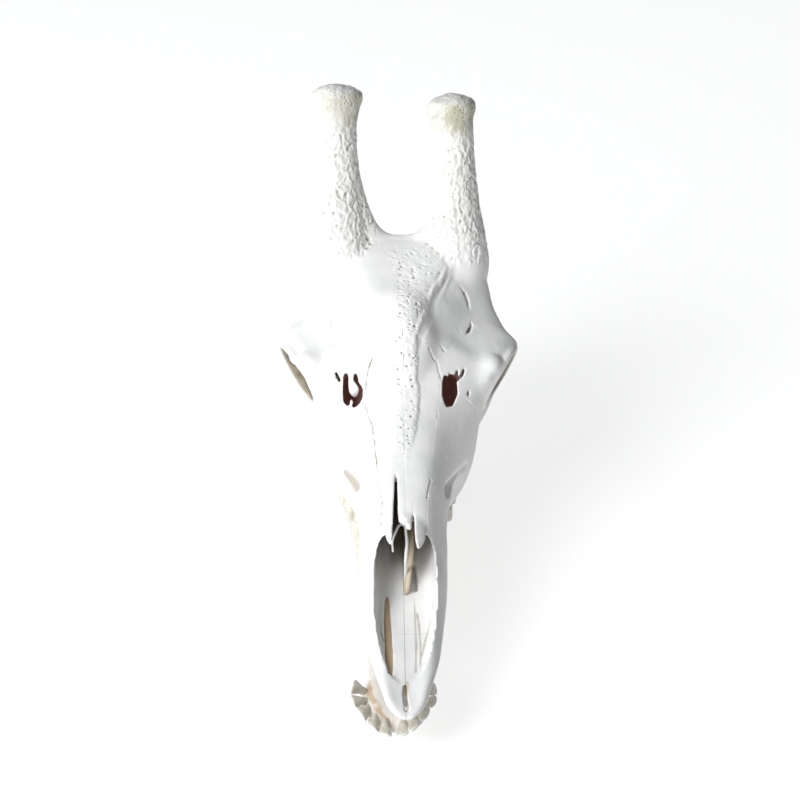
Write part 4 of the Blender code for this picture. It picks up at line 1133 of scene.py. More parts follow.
# Lines painted dark with no relief, as the painted shade and stain of grooves and a slit: over the right eye,
# and on the floor of the nose.
GROOVE_SHADE_LINES = (
    ((-66, 442, 197), (-70.5, 441, 194), (-73.5, 434, 189), (-73.5, 420, 182), (-73, 409, 175.5)),
    ((15, 60, 9), (16.2, 99, 10.5), (15.8, 130, 12), (15.4, 168, 13)),
    ((19.6, 62, 9), (20.4, 99, 10.5), (19.4, 126, 12), (18, 142, 12.5)),
    ((35.5, 160, 20), (30, 126, 14), (24, 96, 10.5), (20.5, 80, 10)),
    ((-28, 156, 22), (-25.5, 143, 18), (-20.6, 119, 13), (-15.7, 102, 11)),
    ((-7.1, 246, 17), (-8.4, 222, 15), (-9.7, 193, 13), (-11, 166, 12)),
)
# Rust-brown along lines: a rusty patch by the right cheek teeth, brown in the crease on the jaw along the
# right premaxilla, and brown that is also painted shade in the tip's notch and on the jaw under the palate's
# slot: how far they reach from the line in mm, and its points.
RUST_AND_SHADE_LINES = (
    (4.5, ((-46, 330, -22), (-46, 320, -11), (-46, 316, -3))),
    (3.4, ((-31, 92, -31), (-27, 66, -32), (-19, 44, -31), (-9, 31, -31))),
    (3.2, ((5, 46, 7), (5, 12, 3))),
    (5.0, ((-10, 160, -36), (-9, 100, -31), (-8, 60, -31))),
)
CHEEK_SHADE = ((43, 278, 65), (48, 291.7, 63.4), (54.8, 303.7, 61.7))


def strip_mask(points):
    """1 on the pitted strip along the face, 0 away from it."""
    keys = [row[0] for row in STRIP]
    s = np.clip(points[:, 1], keys[0], keys[-1])
    middle, wide = flow(keys, [row[1:] for row in STRIP], s).T
    ends = smooth(240, 275, points[:, 1]) * smooth(488, 462, points[:, 1])
    return smooth(1.25, 0.7, abs(points[:, 0] - middle) / wide) * ends * smooth(100, 108, points[:, 2])


def face_field(points, normals):
    """How far the rest of the skin moves out: low waves, a pitted strip, a step beside it, and sutures."""
    move = 0.30 * noise(points, 26.0) + 0.14 * noise(points, 8.0) + 0.05 * noise(points, 3.0)
    move -= 0.5 * smooth(108, 122, abs(points[:, 0])) + 0.4 * smooth(14, 4, points[:, 1])
    upper = (normals[:, 2] > 0.1) & (points[:, 2] > 95) & (points[:, 1] > 235) & (points[:, 1] < 500)
    p = points[upper]
    strip = strip_mask(p)
    keys, edge = zip(*PAD_EDGE)
    line = flow(keys, edge, np.clip(p[:, 1], keys[0], keys[-1]))[:, 0] + 1.6 * noise(p, 7.0)
    beyond = p[:, 0] - line
    fade = smooth(262, 300, p[:, 1]) * smooth(478, 450, p[:, 1])
    raised = 1.3 * smooth(3, -3, beyond) * smooth(-42, -14, beyond)
    sunk = 1.0 * smooth(-1, 3, beyond) * smooth(26, 8, beyond)
    bent_p = p + 1.8 * np.column_stack([noise(p + shift, 5.0) for shift in (0, 60, 120)])
    crowd = smooth(-0.7, 0.25, noise(p, 21.0) + 0.5 * noise(p, 9.0))
    holes = smooth(0.36, 0.14, spots(bent_p, 4.6)) * 2.1 * crowd
    holes += smooth(0.24, 0.12, spots(p + 40, 3.6)) * 0.8
    rough = 0.28 * noise(p, 4.5) + 0.22 * (1 - 2.4 * abs(noise(p, 6.5)))
    slant = np.column_stack([p @ FLUTE_ACROSS, 0.16 * (p @ FLUTE_ALONG), np.zeros(len(p))])
    flank = smooth(-12, -4, beyond) * smooth(12, 4, beyond)
    flank *= smooth(345, 365, p[:, 1]) * smooth(470, 448, p[:, 1])
    flutes = 1.5 * (noise(slant, 3.6) - 0.35)
    move[upper] += fade * (raised - sunk) + strip * (rough - holes) + flank * flutes
    jag = points + 1.3 * np.column_stack([noise(points + shift, 4.0) for shift in (0, 50, 100)])
    for line in SUTURES:
        move -= 1.1 * smooth(1.5, 0.2, near_line(jag, line))
    return move


# %% Move the skin
def weather(body, field):
    """Move a body's vertices along their normals by a field of place, in mm."""
    place = mesh_array(body.data, "place")
    normal = mesh_array(body.data, "normal")
    move = field(place / MM, normal)
    body.data.vertices.foreach_set("co", (place + normal * move[:, None] * MM).ravel())
    body.data.update()
    return move


def head_field(points, normals):
    """Ossicones and the rest of the head."""
    share, off, _ = horn_place(points)
    horns = smooth(42, 34, off) * smooth(-0.02, 0.08, share)
    return horns * horn_field(points, normals) + (1 - horns) * face_field(points, normals)


def jaw_field(points, normals):
    """Low waves and a fine grain on the lower jaw."""
    return 0.25 * noise(points, 24.0) + 0.12 * noise(points, 7.0) + 0.05 * noise(points, 3.0) - 0.1


moved = weather(head, head_field)
print("head moved between", round(float(moved.min()), 2), "and", round(float(moved.max()), 2), "mm")
weather(jaw, jaw_field)

# %% [markdown]
# ## Parting the bones
#
# Thin sheets cut the head along its sutures: a closed gap round the nasal bones, a line in front of each
# maxilla and one behind it, and the skull's middle. The pieces that fall apart are told by where they lie.

# %% Seams and pieces
SEAM = 0.06
SEAM_REACH = 120
HORN_GAP = 0.04
NASAL_SEAM = (
    (150, 30, 68),
    (200, 22.5, 74),
    (235, 23.5, 88),
    (262, 28, 103),
    (300, 32, 119),
    (330, 38, 136),
    (345, 37, 146),
    (356, 33, 157),
    (363, 26, 165),
    (367, 15, 170),
    (369, 4, 173),
)
# Seams of the cheek in (s, h): in front of the maxilla and behind it.
FRONT_SEAM = (
    (96, -30), (104, 4), (122, 20), (154, 34), (196, 54), (228, 70), (241, 84), (246, 104), (248, 150),
)
REAR_SEAM = ((396, -30), (396, 34), (372, 50), (355, 84), (345, 116), (339, 140), (334, 220))

# The middle slabs run over these distances s and heights h: between the nasal bones, between the halves of
# the upper jaw under the roof of the nose, and between the halves of the lower jaw.
NASAL_SPLIT = ((140, 400), (60, 260))
PALATE_SPLIT = ((-60, REAR_SEAM[0][0]), (-60, 92))
JAW_SPLIT = ((-60, 600), (-150, 200))
# Middle of each piece's box, by which it is told apart once the seams are cut.
ABOVE_SEAMS = {"head": (0, 314, 184), "nasals": (0, 270, 130)}
NASAL_PLACES = {"nasal_left": (15, 270, 130), "nasal_right": (-15, 270, 130)}
HEAD_PLACES = {
    "premaxilla_left": (28, 105, 30),
    "premaxilla_right": (-28, 105, 30),
    "maxilla_left": (40, 255, 60),
    "maxilla_right": (-40, 255, 60),
    "cranium": (0, 480, 130),
}
JAW_PLACES = {"mandible_left": (45, 260, 20), "mandible_right": (-45, 260, 20)}
HORN_SEAM = 0.24
HORN_BLOCK = 60.0


def seam_sheet(name, line, reach, into):
    """Thin upright sheet across the skull, along a line of (s, h) points."""
    line = np.asarray(line, float)
    along = np.gradient(line, axis=0)
    along /= np.linalg.norm(along, axis=1)[:, None]
    out = along[:, ::-1] * (1, -1) * SEAM / 2
    edge = np.vstack([line + out, (line - out)[::-1]])
    loft(name, [np.column_stack([np.full(len(edge), x), edge]) for x in (-reach, reach)], into)


def middle_slab(s_range, h_range, into):
    """Thin upright slab along the skull at its middle."""
    half = SEAM / 2
    edge = ((-half, h_range[0]), (half, h_range[0]), (half, h_range[1]), (-half, h_range[1]))
    loft("middle", [[(x, s, h) for x, h in edge] for s in np.linspace(*s_range, 60)], into)


def horn_block(side, grow, into):
    """Block round an ossicone, from its seam outwards, in line with its axis."""
    foot, axis = ossicone_axis(side)
    length = np.linalg.norm(axis)
    axis = axis / length
    start = foot + axis * (length * HORN_SEAM - grow)
    across = np.cross(axis, (1, 0, 0))
    across /= np.linalg.norm(across)
    aside = np.cross(axis, across)
    near = [start + (a * across + b * aside) * HORN_BLOCK for a, b in ((-1, -1), (1, -1), (1, 1), (-1, 1))]
    loft(f"horn_block_{side}", [near, [point + axis * length for point in near]], into)


def vomer_plate(name, grow, into):
    """The vomer's plain plate, grown by a margin on all sides."""
    rings = []
    for s, low, high in VOMER:
        wide = VOMER_THICK / 2 + grow
        edge = ((-wide, low - grow), (wide, low - grow), (wide, high + grow), (-wide, high + grow))
        rings.append([(x + VOMER_OFF + VOMER_LEAN * (h - low), s, h) for x, h in edge])
    rings[0] = [(x, s - grow, h) for x, s, h in rings[0]]
    rings[-1] = [(x, s + grow, h) for x, s, h in rings[-1]]
    return loft(name, rings, into)


rings = []
for s, wide, low in section_rows(NASAL_SEAM):
    rings.append(upright(s, mirrored(((0, 260), (wide, 260), (wide, low), (0, low)))))
applied(loft("nasal_seam", rings, cutters), "SOLIDIFY", "gap", thickness=SEAM * MM, offset=0.0)
pieces = parted(combined(head, "DIFFERENCE", bent(cutters)), ABOVE_SEAMS)
head, nasals = pieces["head"], pieces["nasals"]
middle_slab(*NASAL_SPLIT, cutters)
bones = parted(combined(nasals, "DIFFERENCE", bent(cutters)), NASAL_PLACES)
for side, word in SIDES:
    horn = head.copy()
    horn.data = head.data.copy()
    bpy.context.scene.collection.objects.link(horn)
    horn_block(side, -HORN_GAP, cutters)
    bones[f"ossicone_{word}"] = main_part(combined(horn, "INTERSECT", cutters))
    horn_block(side, 0.0, cutters)
    head = combined(head, "DIFFERENCE", cutters)
seam_sheet("front_seam", FRONT_SEAM, SEAM_REACH, cutters)
seam_sheet("rear_seam", REAR_SEAM, SEAM_REACH, cutters)
middle_slab(*PALATE_SPLIT, cutters)
vomer_plate("vomer_slot", SEAM, cutters)
bones.update(parted(combined(head, "DIFFERENCE", bent(cutters)), HEAD_PLACES))
middle_slab(*JAW_SPLIT, cutters)
bones.update(parted(combined(jaw, "DIFFERENCE", cutters), JAW_PLACES))
for name, bone in bones.items():
    print(name, len(bone.data.polygons))

# %% [markdown]
# ## Teeth
#
# Giraffes have no upper front teeth, but eight below, and rows of six cheek teeth above and below. A cheek
# tooth is a rounded block that spreads towards its worn top; a front tooth is a spoon, thin at its edge.

# %% Teeth
# Cheek teeth from front to back: s of the middle, length, upper x and width, lower x and width.
CHEEK_TEETH = (
    (227, 21, 32, 18, 25.5, 10),
    (249, 22, 34, 20, 27, 11),
    (272, 23, 36.5, 22, 29, 12),
    (299, 28, 37, 25, 31.5, 13),
    (334, 28, 44.5, 27, 35, 14),
    (364, 30, 50.5, 27, 39, 13),
)
UPPER_CROWN = (12.0, -15.8)
LOWER_CROWN = (-42.0, -16.2)
# Front teeth of the lower jaw, from the midline out: the root, and the inner and outer ends of the crown's
# edge. The last two rows are the two lobes of one tooth.
FRONT_TEETH = (
    ((8.9, 35, -34), (1.2, 2.3, -22), (15.2, 6.3, -22)),
    ((18.4, 43, -34), (14.8, 7.2, -21.5), (26, 19, -21.5)),
    ((25.2, 54, -34), (27.6, 21, -20.5), (36.8, 39, -20.5)),
    ((29, 64, -34), (38.4, 40, -19.5), (43.6, 57, -19)),
    ((31, 78, -34), (43.4, 59, -18.8), (39.4, 80, -18.5)),
)

# Front tooth at each share of the way from root to edge: its width for the edge's, its half-thickness and
# how far its sides bend up beside the hollow of its inner face.
FRONT_TOOTH = (
    (-0.2, 0.44, 4.2, 0.0),
    (0.0, 0.47, 4.2, 0.0),
    (0.3, 0.62, 3.8, 0.3),
    (0.6, 0.90, 3.0, 0.7),
    (0.8, 0.98, 2.3, 0.8),
    (0.9, 0.90, 1.8, 0.6),
    (0.97, 0.62, 1.2, 0.4),
    (1.0, 0.30, 0.6, 0.2),
)


def store(mesh, name, values):
    """Put one number for each vertex into a mesh, for its material to read."""
    mesh.attributes.new(name, "FLOAT", "POINT").data.foreach_set("value", values.astype(np.float32))


def crown(name, centre, length, width, low, high, into):
    """Cheek tooth: a block with rounded corners, a little narrower at its root and at its worn top."""
    turn = np.linspace(0, 2 * math.pi, 40, endpoint=False) + math.pi / 40
    x = np.sign(np.cos(turn)) * abs(np.cos(turn)) ** 0.45 * width / 2
    s = np.sign(np.sin(turn)) * abs(np.sin(turn)) ** 0.45 * length / 2
    rings = []
    for share, size in ((0.0, 0.86), (0.5, 0.95), (0.88, 1.0), (0.97, 0.97), (1.0, 0.9)):
        flat = np.column_stack([x * size, s * (1 + size) / 2]) + centre
        rings.append(np.column_stack([flat, np.full(len(turn), low + (high - low) * share)]))
    return loft(name, rings, into)


def front_tooth(name, root, inner, outer, side, into):
    """Front tooth: a root that widens to a flat, rounded spoon, thin at its edge."""
    root, inner, outer = (np.array(end, float) * (side, 1, 1) for end in (root, inner, outer))
    axis = (inner + outer) / 2 - root
    across = (outer - inner) / 2
    up = np.cross(across, axis)
    up /= np.linalg.norm(up)
    turn = np.linspace(0, 2 * math.pi, 40, endpoint=False)[:, None]
    keys = [row[0] for row in FRONT_TOOTH]
    shares = np.linspace(keys[0], keys[-1], 28)
    rings = []
    for share, (wide, thick, dish) in zip(shares, flow(keys, [row[1:] for row in FRONT_TOOTH], shares)):
        flat = across * np.cos(turn) * wide + up * (np.sin(turn) * thick - dish * np.cos(turn) ** 2)
        rings.append(root + axis * share + flat)
    tooth = loft(name, rings, into)
    sides = smooth(0.84, 0.98, abs(np.cos(turn[:, 0])))
    rim = np.maximum(smooth(0.88, 0.98, shares)[:, None], sides * smooth(0.3, 0.6, shares)[:, None])
    store(tooth.data, "rim", rim.ravel())
    return tooth


# Broken front edge of the thin scroll in the nose: x, s, h and radii. Its left end stands on the palate.
SCROLL = (
    (-6.8, 193, 50, 1.0, 1.0), (-7.4, 198, 62, 1.4, 1.2), (-4.1, 204.5, 68, 1.4, 1.4),
    (-0.9, 211, 70, 1.2, 1.4), (2.1, 213, 70, 1.1, 1.4), (4.6, 212, 69, 1.1, 1.4), (6.1, 204, 66, 1.3, 1.4),
    (7.0, 192.4, 60, 1.7, 1.5), (6.2, 184.7, 52, 2.0, 1.7), (6.4, 186, 34, 2.2, 1.8),
    (6.8, 188, 13, 2.3, 1.9),
)
# Brown sheet under the palate's slot, which stands for the stained jaw and its shade seen through the slot:
# how far under the floor of the nose, its thickness and its spare width.
STRIP_UNDER, STRIP_THICK, STRIP_SPARE = 3.0, 2.0, 2.0
# Block that flattens the jaw where it rests: the s of its ends, half its width and its depth. The joint's
# ball has some room in its socket.
FLOOR_BLOCK_ENDS, FLOOR_BLOCK_WIDE, FLOOR_BLOCK_DEEP = (-60.0, 700.0), 200, 80
JOINT_ROOM = 0.9
teeth = gathering("teeth")
for side, word in SIDES:
    for number, (s, length, x_up, wide_up, x_low, wide_low) in enumerate(CHEEK_TEETH, 1):
        crown(f"upper_tooth_{word}_{number}", (side * x_up, s), length, wide_up, *UPPER_CROWN, teeth)
bent(teeth)
pivot = Matrix.Translation(Vector((0, *JAW_JOINT[1:])) * MM)
swing = pivot @ Matrix.Rotation(-JAW_SWING, 4, "Z") @ pivot.inverted()
slope = (ANGLE_H - CHIN_H) / (ANGLE_S - CHIN_S)
for side, word in SIDES:
    for number, (s, length, x_up, wide_up, x_low, wide_low) in enumerate(CHEEK_TEETH, 1):
        name = f"lower_tooth_{word}_{number}"
        tooth = crown(name, (side * x_low, s), length, wide_low, *LOWER_CROWN, teeth)
        tooth.data.transform(swing)
    for number, ends in enumerate(FRONT_TEETH, 1):
        tooth = front_tooth(f"front_tooth_{word}_{number}", *ends, side, teeth)
        tooth.data.transform(swing)
    half = bones[f"mandible_{word}"]
    half.data.transform(swing)
    rings = []
    for s in FLOOR_BLOCK_ENDS:
        level = CHIN_H + slope * (s - CHIN_S)
        corners = ((-1, level), (1, level), (1, level - FLOOR_BLOCK_DEEP), (-1, level - FLOOR_BLOCK_DEEP))
        rings.append([(way * FLOOR_BLOCK_WIDE, s, h) for way, h in corners])
    loft("floor_block", rings, cutters)
    combined(half, "DIFFERENCE", cutters)
room = [radius + JOINT_ROOM for radius in JAW_JOINT_RADII]
both_balls("jaw_room", (JAW_JOINT, room, 0, 0), cutters)
combined(bones["cranium"], "DIFFERENCE", cutters)
bones["vomer"] = vomer_plate("vomer_form", 0.0, forms)
bent(forms)
inside = gathering("inside")
keys, low = zip(*[(row[0], row[2]) for row in NOSTRIL])
rings = []
for s, x, wide in section_rows([(s, x, wide) for x, s, wide in PALATE_SLOT]):
    top = float(np.interp(s, keys, low)) - STRIP_UNDER
    edge = ((-1, top - STRIP_THICK), (1, top - STRIP_THICK), (1, top), (-1, top))
    rings.append([(x + way * (wide + STRIP_SPARE), s, h) for way, h in edge])
# A brown sheet under the slot, for the stained jaw and its painted shade seen through it.
strip = loft("palate_shade_strip", rings, inside)
scroll = tube("nose_scroll", SCROLL, inside, around=16, step=0.8, side=(1, 0, 0))

# %% [markdown]
# ## What each point knows
#
# The colour of old bone follows its form: dirt stays in hollows, grease and lichen stain the knobs, and the
# insides that sun never bleached stay brown. Shade is painted into the colour too: in creases and pits, on
# the knobs' shaded side, along grooves that have no relief, in the orbits, the cheeks' hollows and the nose,
# and in the tip's notch and under the palate's slot. So each piece gets six numbers at every point: how
# hollow the surface is there, found by comparing it with a softened copy of itself, and from where it lies,
# how stained it is, how near to a dark line or a patch of rust, how sheltered and shaded, and how red the
# hollow behind it is.

# %% Hollowness, stain, shelter and painted shade
SOFT_ROUNDS = 8
# Way that the knobs' shaded side faces, turned from the lamp; their stain is painted stronger there as
# painted shade.
SHADE_SIDE_WAY = np.array((0.61, -0.61, -0.51))


def jagged(points, size, reach, shifts):
    """Points moved at random, so that a line drawn through them comes out jagged."""
    return points + reach * np.column_stack([noise(points + shift, size) for shift in shifts])


def closed_seams(points):
    """1 on the floor of the nose where a seam is so tight that it gets neither dirt nor painted shade."""
    gap = near_line(points * (0, 1, 1), [(0, s, h) for s, h in FRONT_SEAM])
    gap = np.minimum(gap, abs(points[:, 0] - drift(points[:, 1])))
    return smooth(3.0, 1.5, gap) * smooth(34, 26, abs(points[:, 0])) * smooth(40, 25, points[:, 2])


def horn_stain_and_shade(points, normals):
    """Yellow-green stain on the knobs, painted much stronger on their side turned from the lamp as painted
    shade, and thinly on the fronts of the shafts.
    """
    share, off, _ = horn_place(points)
    on_horn = smooth(44, 34, off)
    front = smooth(-0.2, 0.7, -normals[:, 1])
    # Painted shade: the knobs' side turned from the lamp gets more of the dark stain.
    shade_side = smooth(-0.15, 0.45, normals @ SHADE_SIDE_WAY)
    patch = smooth(-0.25, 0.5, noise(points, 16.0) + 0.5 * noise(points, 6.0))
    knob = on_horn * smooth(0.74, 0.86, share) * (0.32 + 0.68 * shade_side)
    shaft = on_horn * smooth(0.05, 0.3, share) * 0.34 * front
    return np.clip((knob + shaft) * (0.5 + 0.5 * patch), 0, 1)


def line_dirt_and_shade(points):
    """Dirt along the open sutures, broken here and there, and painted shade with stain along the grooves and
    the slit that have no relief.
    """
    jag = jagged(points, 4.0, 0.9, (0, 50, 100))
    line = np.max([smooth(1.5, 0.5, near_line(jag, row)) for row in SUTURES], axis=0)
    line *= 0.4 + 0.6 * smooth(-0.4, 0.3, noise(points, 5.0))
    # Painted shade: these grooves and the slit are darkened with no relief.
    for row in GROOVE_SHADE_LINES:
        line = np.maximum(line, smooth(1.3, 0.5, near_line(points, row)))
    return line


def rust_and_shade_stain(points):
    """Rusty patches along their lines, and brown that is also painted shade in the tip's notch and under the
    palate's slot.
    """
    jag = jagged(points, 7.0, 2.5, (20, 70, 110))
    return np.max([smooth(1.4 * far, 0.5 * far, near_line(jag, row)) for far, row in RUST_AND_SHADE_LINES], axis=0)


def shade_and_unbleached(points):
    """How much painted shade each point gets, with unbleached brown, in the orbits and deep in the passage of
    the nose, painted shade alone in the hollows of the cheeks, and how near it is to the red hollow in front
    of each orbit."""
    inside, red = np.zeros(len(points)), np.zeros(len(points))
    x, s, h = points.T
    for side, _ in SIDES:
        out_of_room = np.array(orbit_frame(side).inverted())
        local = (np.column_stack([points * MM, np.ones(len(points))]) @ out_of_room.T) / MM
        deep = np.hypot(local[:, 1], local[:, 2])
        # Painted shade, with unbleached brown, under the brow and deep in the orbit.
        orbit = smooth(38, 35, deep) * smooth(4, 0, local[:, 0]) * smooth(-75, -60, local[:, 0])
        # Painted shade alone in the hollow of the cheek.
        cheek = near_line(points, np.array(CHEEK_SHADE) * (side, 1, 1))
        inside = np.max([inside, orbit, 0.75 * smooth(9, 2, cheek)], axis=0)
        centre, radii = SINUSES[side]
        shell = np.linalg.norm((points - centre) / radii, axis=1)
        red = np.maximum(red, smooth(1.22, 1.05, shell))
    keys = [row[0] for row in PASSAGE]
    wide, low, high = flow(keys, [row[1:] for row in PASSAGE], np.clip(s, keys[0], keys[-1])).T
    shell = np.hypot((x - drift(s)) / wide, (2 * h - low - high) / (high - low))
    # Painted shade, with unbleached brown, deep in the passage of the nose.
    passage = smooth(1.14, 1.06, shell) * smooth(196, 250, s) * smooth(362, 352, s)
    return np.maximum(inside, passage), red


def know(bone):
    """Store what each point of a bone in the skull's frame knows for its material."""
    points = mesh_array(bone.data, "place") / MM
    normals = mesh_array(bone.data, "normal")
    edges = mesh_array(bone.data, "edge")
    depth = ((softened(points, edges, SOFT_ROUNDS) - points) * normals).sum(1)
    # Dirt and painted shade, stronger where the surface is hollow, as shade in creases and pits.
    shade_and_dirt = softened(depth[:, None].repeat(3, 1), edges, 1)[:, 0]
    inside, red = shade_and_unbleached(points)
    # How hollow each point is, which darkens it with dirt and painted shade.
    store(bone.data, "hollow", shade_and_dirt * (1 - closed_seams(points)))
    # Stain on the knobs and shafts, painted darker on the knobs' shaded side as painted shade.
    store(bone.data, "stain_and_shade", horn_stain_and_shade(points, normals))
    # Dirt in the sutures, and painted shade with stain in grooves that have no relief.
    store(bone.data, "line", line_dirt_and_shade(points))
    # Rust, and brown that is also painted shade in the tip's notch and under the palate's slot.
    store(bone.data, "rust_and_shade", rust_and_shade_stain(points))
    # Painted shade, with unbleached brown, in the orbits, the cheeks' hollows and the nose.
    store(bone.data, "shade_and_unbleached", inside)
    store(bone.data, "red", red)


# %% [markdown]
# ## Materials as sums
#
# A material is a sum over sockets, and reads best when written as one. A small class wraps a socket, so that
# plus, minus, times and divide add the Math nodes; one method adds every other kind of node.

# %% Shader helper
class Wire:
    """A node's output that can stand in sums."""

    def __init__(self, look, socket):
        self.look, self.socket = look, socket

    def maths(self, operation, *values, clamp=False):
        node = self.look.node("Math", {"operation": operation, "use_clamp": clamp}, dict(enumerate(values)))
        return Wire(self.look, node.outputs[0])

    def __add__(self, other):
        return self.maths("ADD", self, other)

    def __sub__(self, other):
        return self.maths("SUBTRACT", self, other)

    def __mul__(self, other):
        return self.maths("MULTIPLY", self, other)

    def __truediv__(self, other):
        return self.maths("DIVIDE", self, other)

    def __rsub__(self, other):
        return self.maths("SUBTRACT", other, self)

    def __rtruediv__(self, other):
        return self.maths("DIVIDE", other, self)

    __radd__ = __add__
    __rmul__ = __mul__

    def between(self, low, high):
        """0 to 1 as the value goes from low to high, eased at both ends."""
        settings = {"interpolation_type": "SMOOTHSTEP"}
        node = self.look.node("MapRange", settings, {"Value": self, "From Min": low, "From Max": high})
        return Wire(self.look, node.outputs[0])


class Look:
    """A material being made: its tree, and the ways to add to it."""

    def __init__(self, name, roughness):
        self.material = bpy.data.materials.new(name)
        self.material.use_nodes = True
        self.tree = self.material.node_tree
        self.shader = self.tree.nodes["Principled BSDF"]
        self.shader.inputs["Roughness"].default_value = roughness

    def node(self, kind, settings=None, inputs=None):
        """New node: its settings go first, then each input gets a value or a link."""
        made = self.tree.nodes.new(f"ShaderNode{kind}")
        for key, value in (settings or {}).items():
            setattr(made, key, value)
        for key, value in (inputs or {}).items():
            if isinstance(value, Wire):
                self.tree.links.new(value.socket, made.inputs[key])
            else:
                made.inputs[key].default_value = value
        return made

    def attribute(self, name):
        """A stored number of the piece."""
        return Wire(self, self.node("Attribute", {"attribute_name": name}).outputs["Fac"])

    def noise(self, size, detail=3.0):
        """Random field from 0 to 1 with lumps of a size in metres."""
        place = Wire(self, self.node("TexCoord").outputs["Object"])
        values = {"Vector": place, "Scale": 1 / size, "Detail": detail}
        return Wire(self, self.node("TexNoise", None, values).outputs[0])

    def mix(self, share, first, second):
        """Blend of two colours, each a wire or three numbers."""
        first, second = (c if isinstance(c, Wire) else (*c, 1.0) for c in (first, second))
        node = self.node("Mix", {"data_type": "RGBA"}, {0: share, 6: first, 7: second})
        return Wire(self, node.outputs[2])

    def colour(self, wire):
        self.tree.links.new(wire.socket, self.shader.inputs["Base Color"])

    def rough(self, wire):
        self.tree.links.new(wire.socket, self.shader.inputs["Roughness"])

    def bump(self, height, depth):
        """Fine relief of a height from 0 to 1 times a depth in metres."""
        node = self.node("Bump", None, {"Height": height, "Distance": depth, "Strength": 1.0})
        self.tree.links.new(node.outputs[0], self.shader.inputs["Normal"])


# %% [markdown]
# ## Bleached bone
#
# Bone that has lain in the sun is nearly white, a little grey in patches. Hollows go grey-brown with dirt and
# painted shade, stained knobs yellow-green and darker on their shaded side as painted shade, and sheltered
# walls brown with painted shade, darkest deep inside.

# %% Bone colours
WHITE, GREY = (0.84, 0.835, 0.82), (0.77, 0.77, 0.765)
# Grey-brown of dirt and painted shade in creases, and near black of painted shade and dirt deep in pits.
DIRT_AND_SHADE, DEEP_SHADE_AND_DIRT = (0.30, 0.255, 0.19), (0.10, 0.075, 0.055)
# Brown of unbleached bone and painted shade in the orbits, the cheeks' hollows and the nose.
# Olive of the knobs' stain, which also paints the shade on their shaded side.
OLIVE_STAIN_AND_SHADE, SHADED_UNBLEACHED = (0.44, 0.43, 0.31), (0.34, 0.29, 0.22)
# Dark of the sutures' dirt and of painted shade in grooves that have no relief.
# Rust, and brown that is also painted shade in the tip's notch and under the palate's slot.
RUST_AND_SHADE_BROWN, LINE_DIRT_AND_SHADE, RED = (0.47, 0.33, 0.19), (0.36, 0.31, 0.23), (0.50, 0.22, 0.18)


def bone_look(name, white, grey, shaded_unbleached):
    """Bone material from its sun-bleached and greyer colours, and the unbleached brown with painted shade of
    its sheltered walls.
    """
    look = Look(name, 0.62)
    # How hollow the surface is: it darkens the colour with dirt and painted shade.
    hollow = look.attribute("hollow")
    base = look.mix(look.noise(0.045).between(0.35, 0.65), white, grey)
    # Stain on the knobs, with painted shade on their shaded side.
    base = look.mix(look.attribute("stain_and_shade") * 0.85, base, OLIVE_STAIN_AND_SHADE)
    # Painted shade with unbleached brown in the orbits, the cheeks' hollows and the nose.
    base = look.mix(look.attribute("shade_and_unbleached"), base, shaded_unbleached)
    base = look.mix(look.attribute("red"), base, RED)
    # Rust, and brown that is also painted shade in the tip's notch and under the palate's slot.
    base = look.mix(look.attribute("rust_and_shade") * 0.8, base, RUST_AND_SHADE_BROWN)
    # Dirt in the sutures, and painted shade with stain in grooves that have no relief.
    base = look.mix(look.attribute("line") * 0.75, base, LINE_DIRT_AND_SHADE)
    # Dirt and painted shade in creases, near black deep in pits.
    base = look.mix(hollow.between(0.10, 0.75) * 0.85, base, DIRT_AND_SHADE)
    look.colour(look.mix(hollow.between(0.7, 1.8) * 0.8, base, DEEP_SHADE_AND_DIRT))
    look.rough(0.55 + look.noise(0.012) * 0.25)
    look.bump(look.noise(0.0022, 4.0) * 0.6 + look.noise(0.0007, 2.0) * 0.4, 0.00025)
    return look.material


upper_look = bone_look("bleached_bone", WHITE, GREY, SHADED_UNBLEACHED)
horn_look = bone_look("stained_bone", WHITE, GREY, SHADED_UNBLEACHED)
jaw_look = bone_look("jaw_bone", (0.74, 0.71, 0.67), (0.62, 0.58, 0.54), SHADED_UNBLEACHED)
# The sheet under the palate's slot: brown for the stained jaw and painted shade seen through it.
brown_shade_look = bone_look("brown_shade_bone", (0.62, 0.46, 0.30), (0.50, 0.36, 0.23), SHADED_UNBLEACHED)
inner_look = bone_look("inner_bone", (0.66, 0.58, 0.45), (0.52, 0.43, 0.31), (0.45, 0.36, 0.25))

# %% [markdown]
# ## Enamel
#
# Teeth are a little smoother than bone. The front teeth show white rims and grey-beige inner faces, so their
# points were told how near to the rim they lie when the crowns were made.

# %% Enamel
def enamel_look(name, rim, white, grey):
    """Enamel material from the colour of its worn rims and the two that its faces are mottled with."""
    look = Look(name, 0.4)
    face = look.mix(look.noise(0.006).between(0.3, 0.7), white, grey)
    look.colour(look.mix(look.attribute("rim"), face, rim))
    look.bump(look.noise(0.002, 3.0), 0.0002)
    return look.material


tooth_look = enamel_look("enamel", (0.84, 0.83, 0.79), (0.72, 0.70, 0.62), (0.56, 0.53, 0.44))

# %% [markdown]
# ## Pieces in their places
#
# Each bone is thinned to a bearable number of triangles, told what its points know, coloured, and moved from
# the skull's frame to the room's. Then it rides on the plain model's only body.

# %% Pieces
MOST_TRIANGLES = 190000
SLOTS = (
    ("ossicone", horn_look, "stained_bone"),
    ("mandible", jaw_look, "jaw_bone"),
    ("vomer", inner_look, "inner_bone"),
    ("", upper_look, "bone"),
)


def placed(piece, look):
    """The piece with its look, in the room, riding on the skull."""
    piece.data.materials.clear()
    piece.data.materials.append(look)
    piece.data.transform(TO_ROOM)
    piece.data.shade_smooth()
    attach(piece, "root")


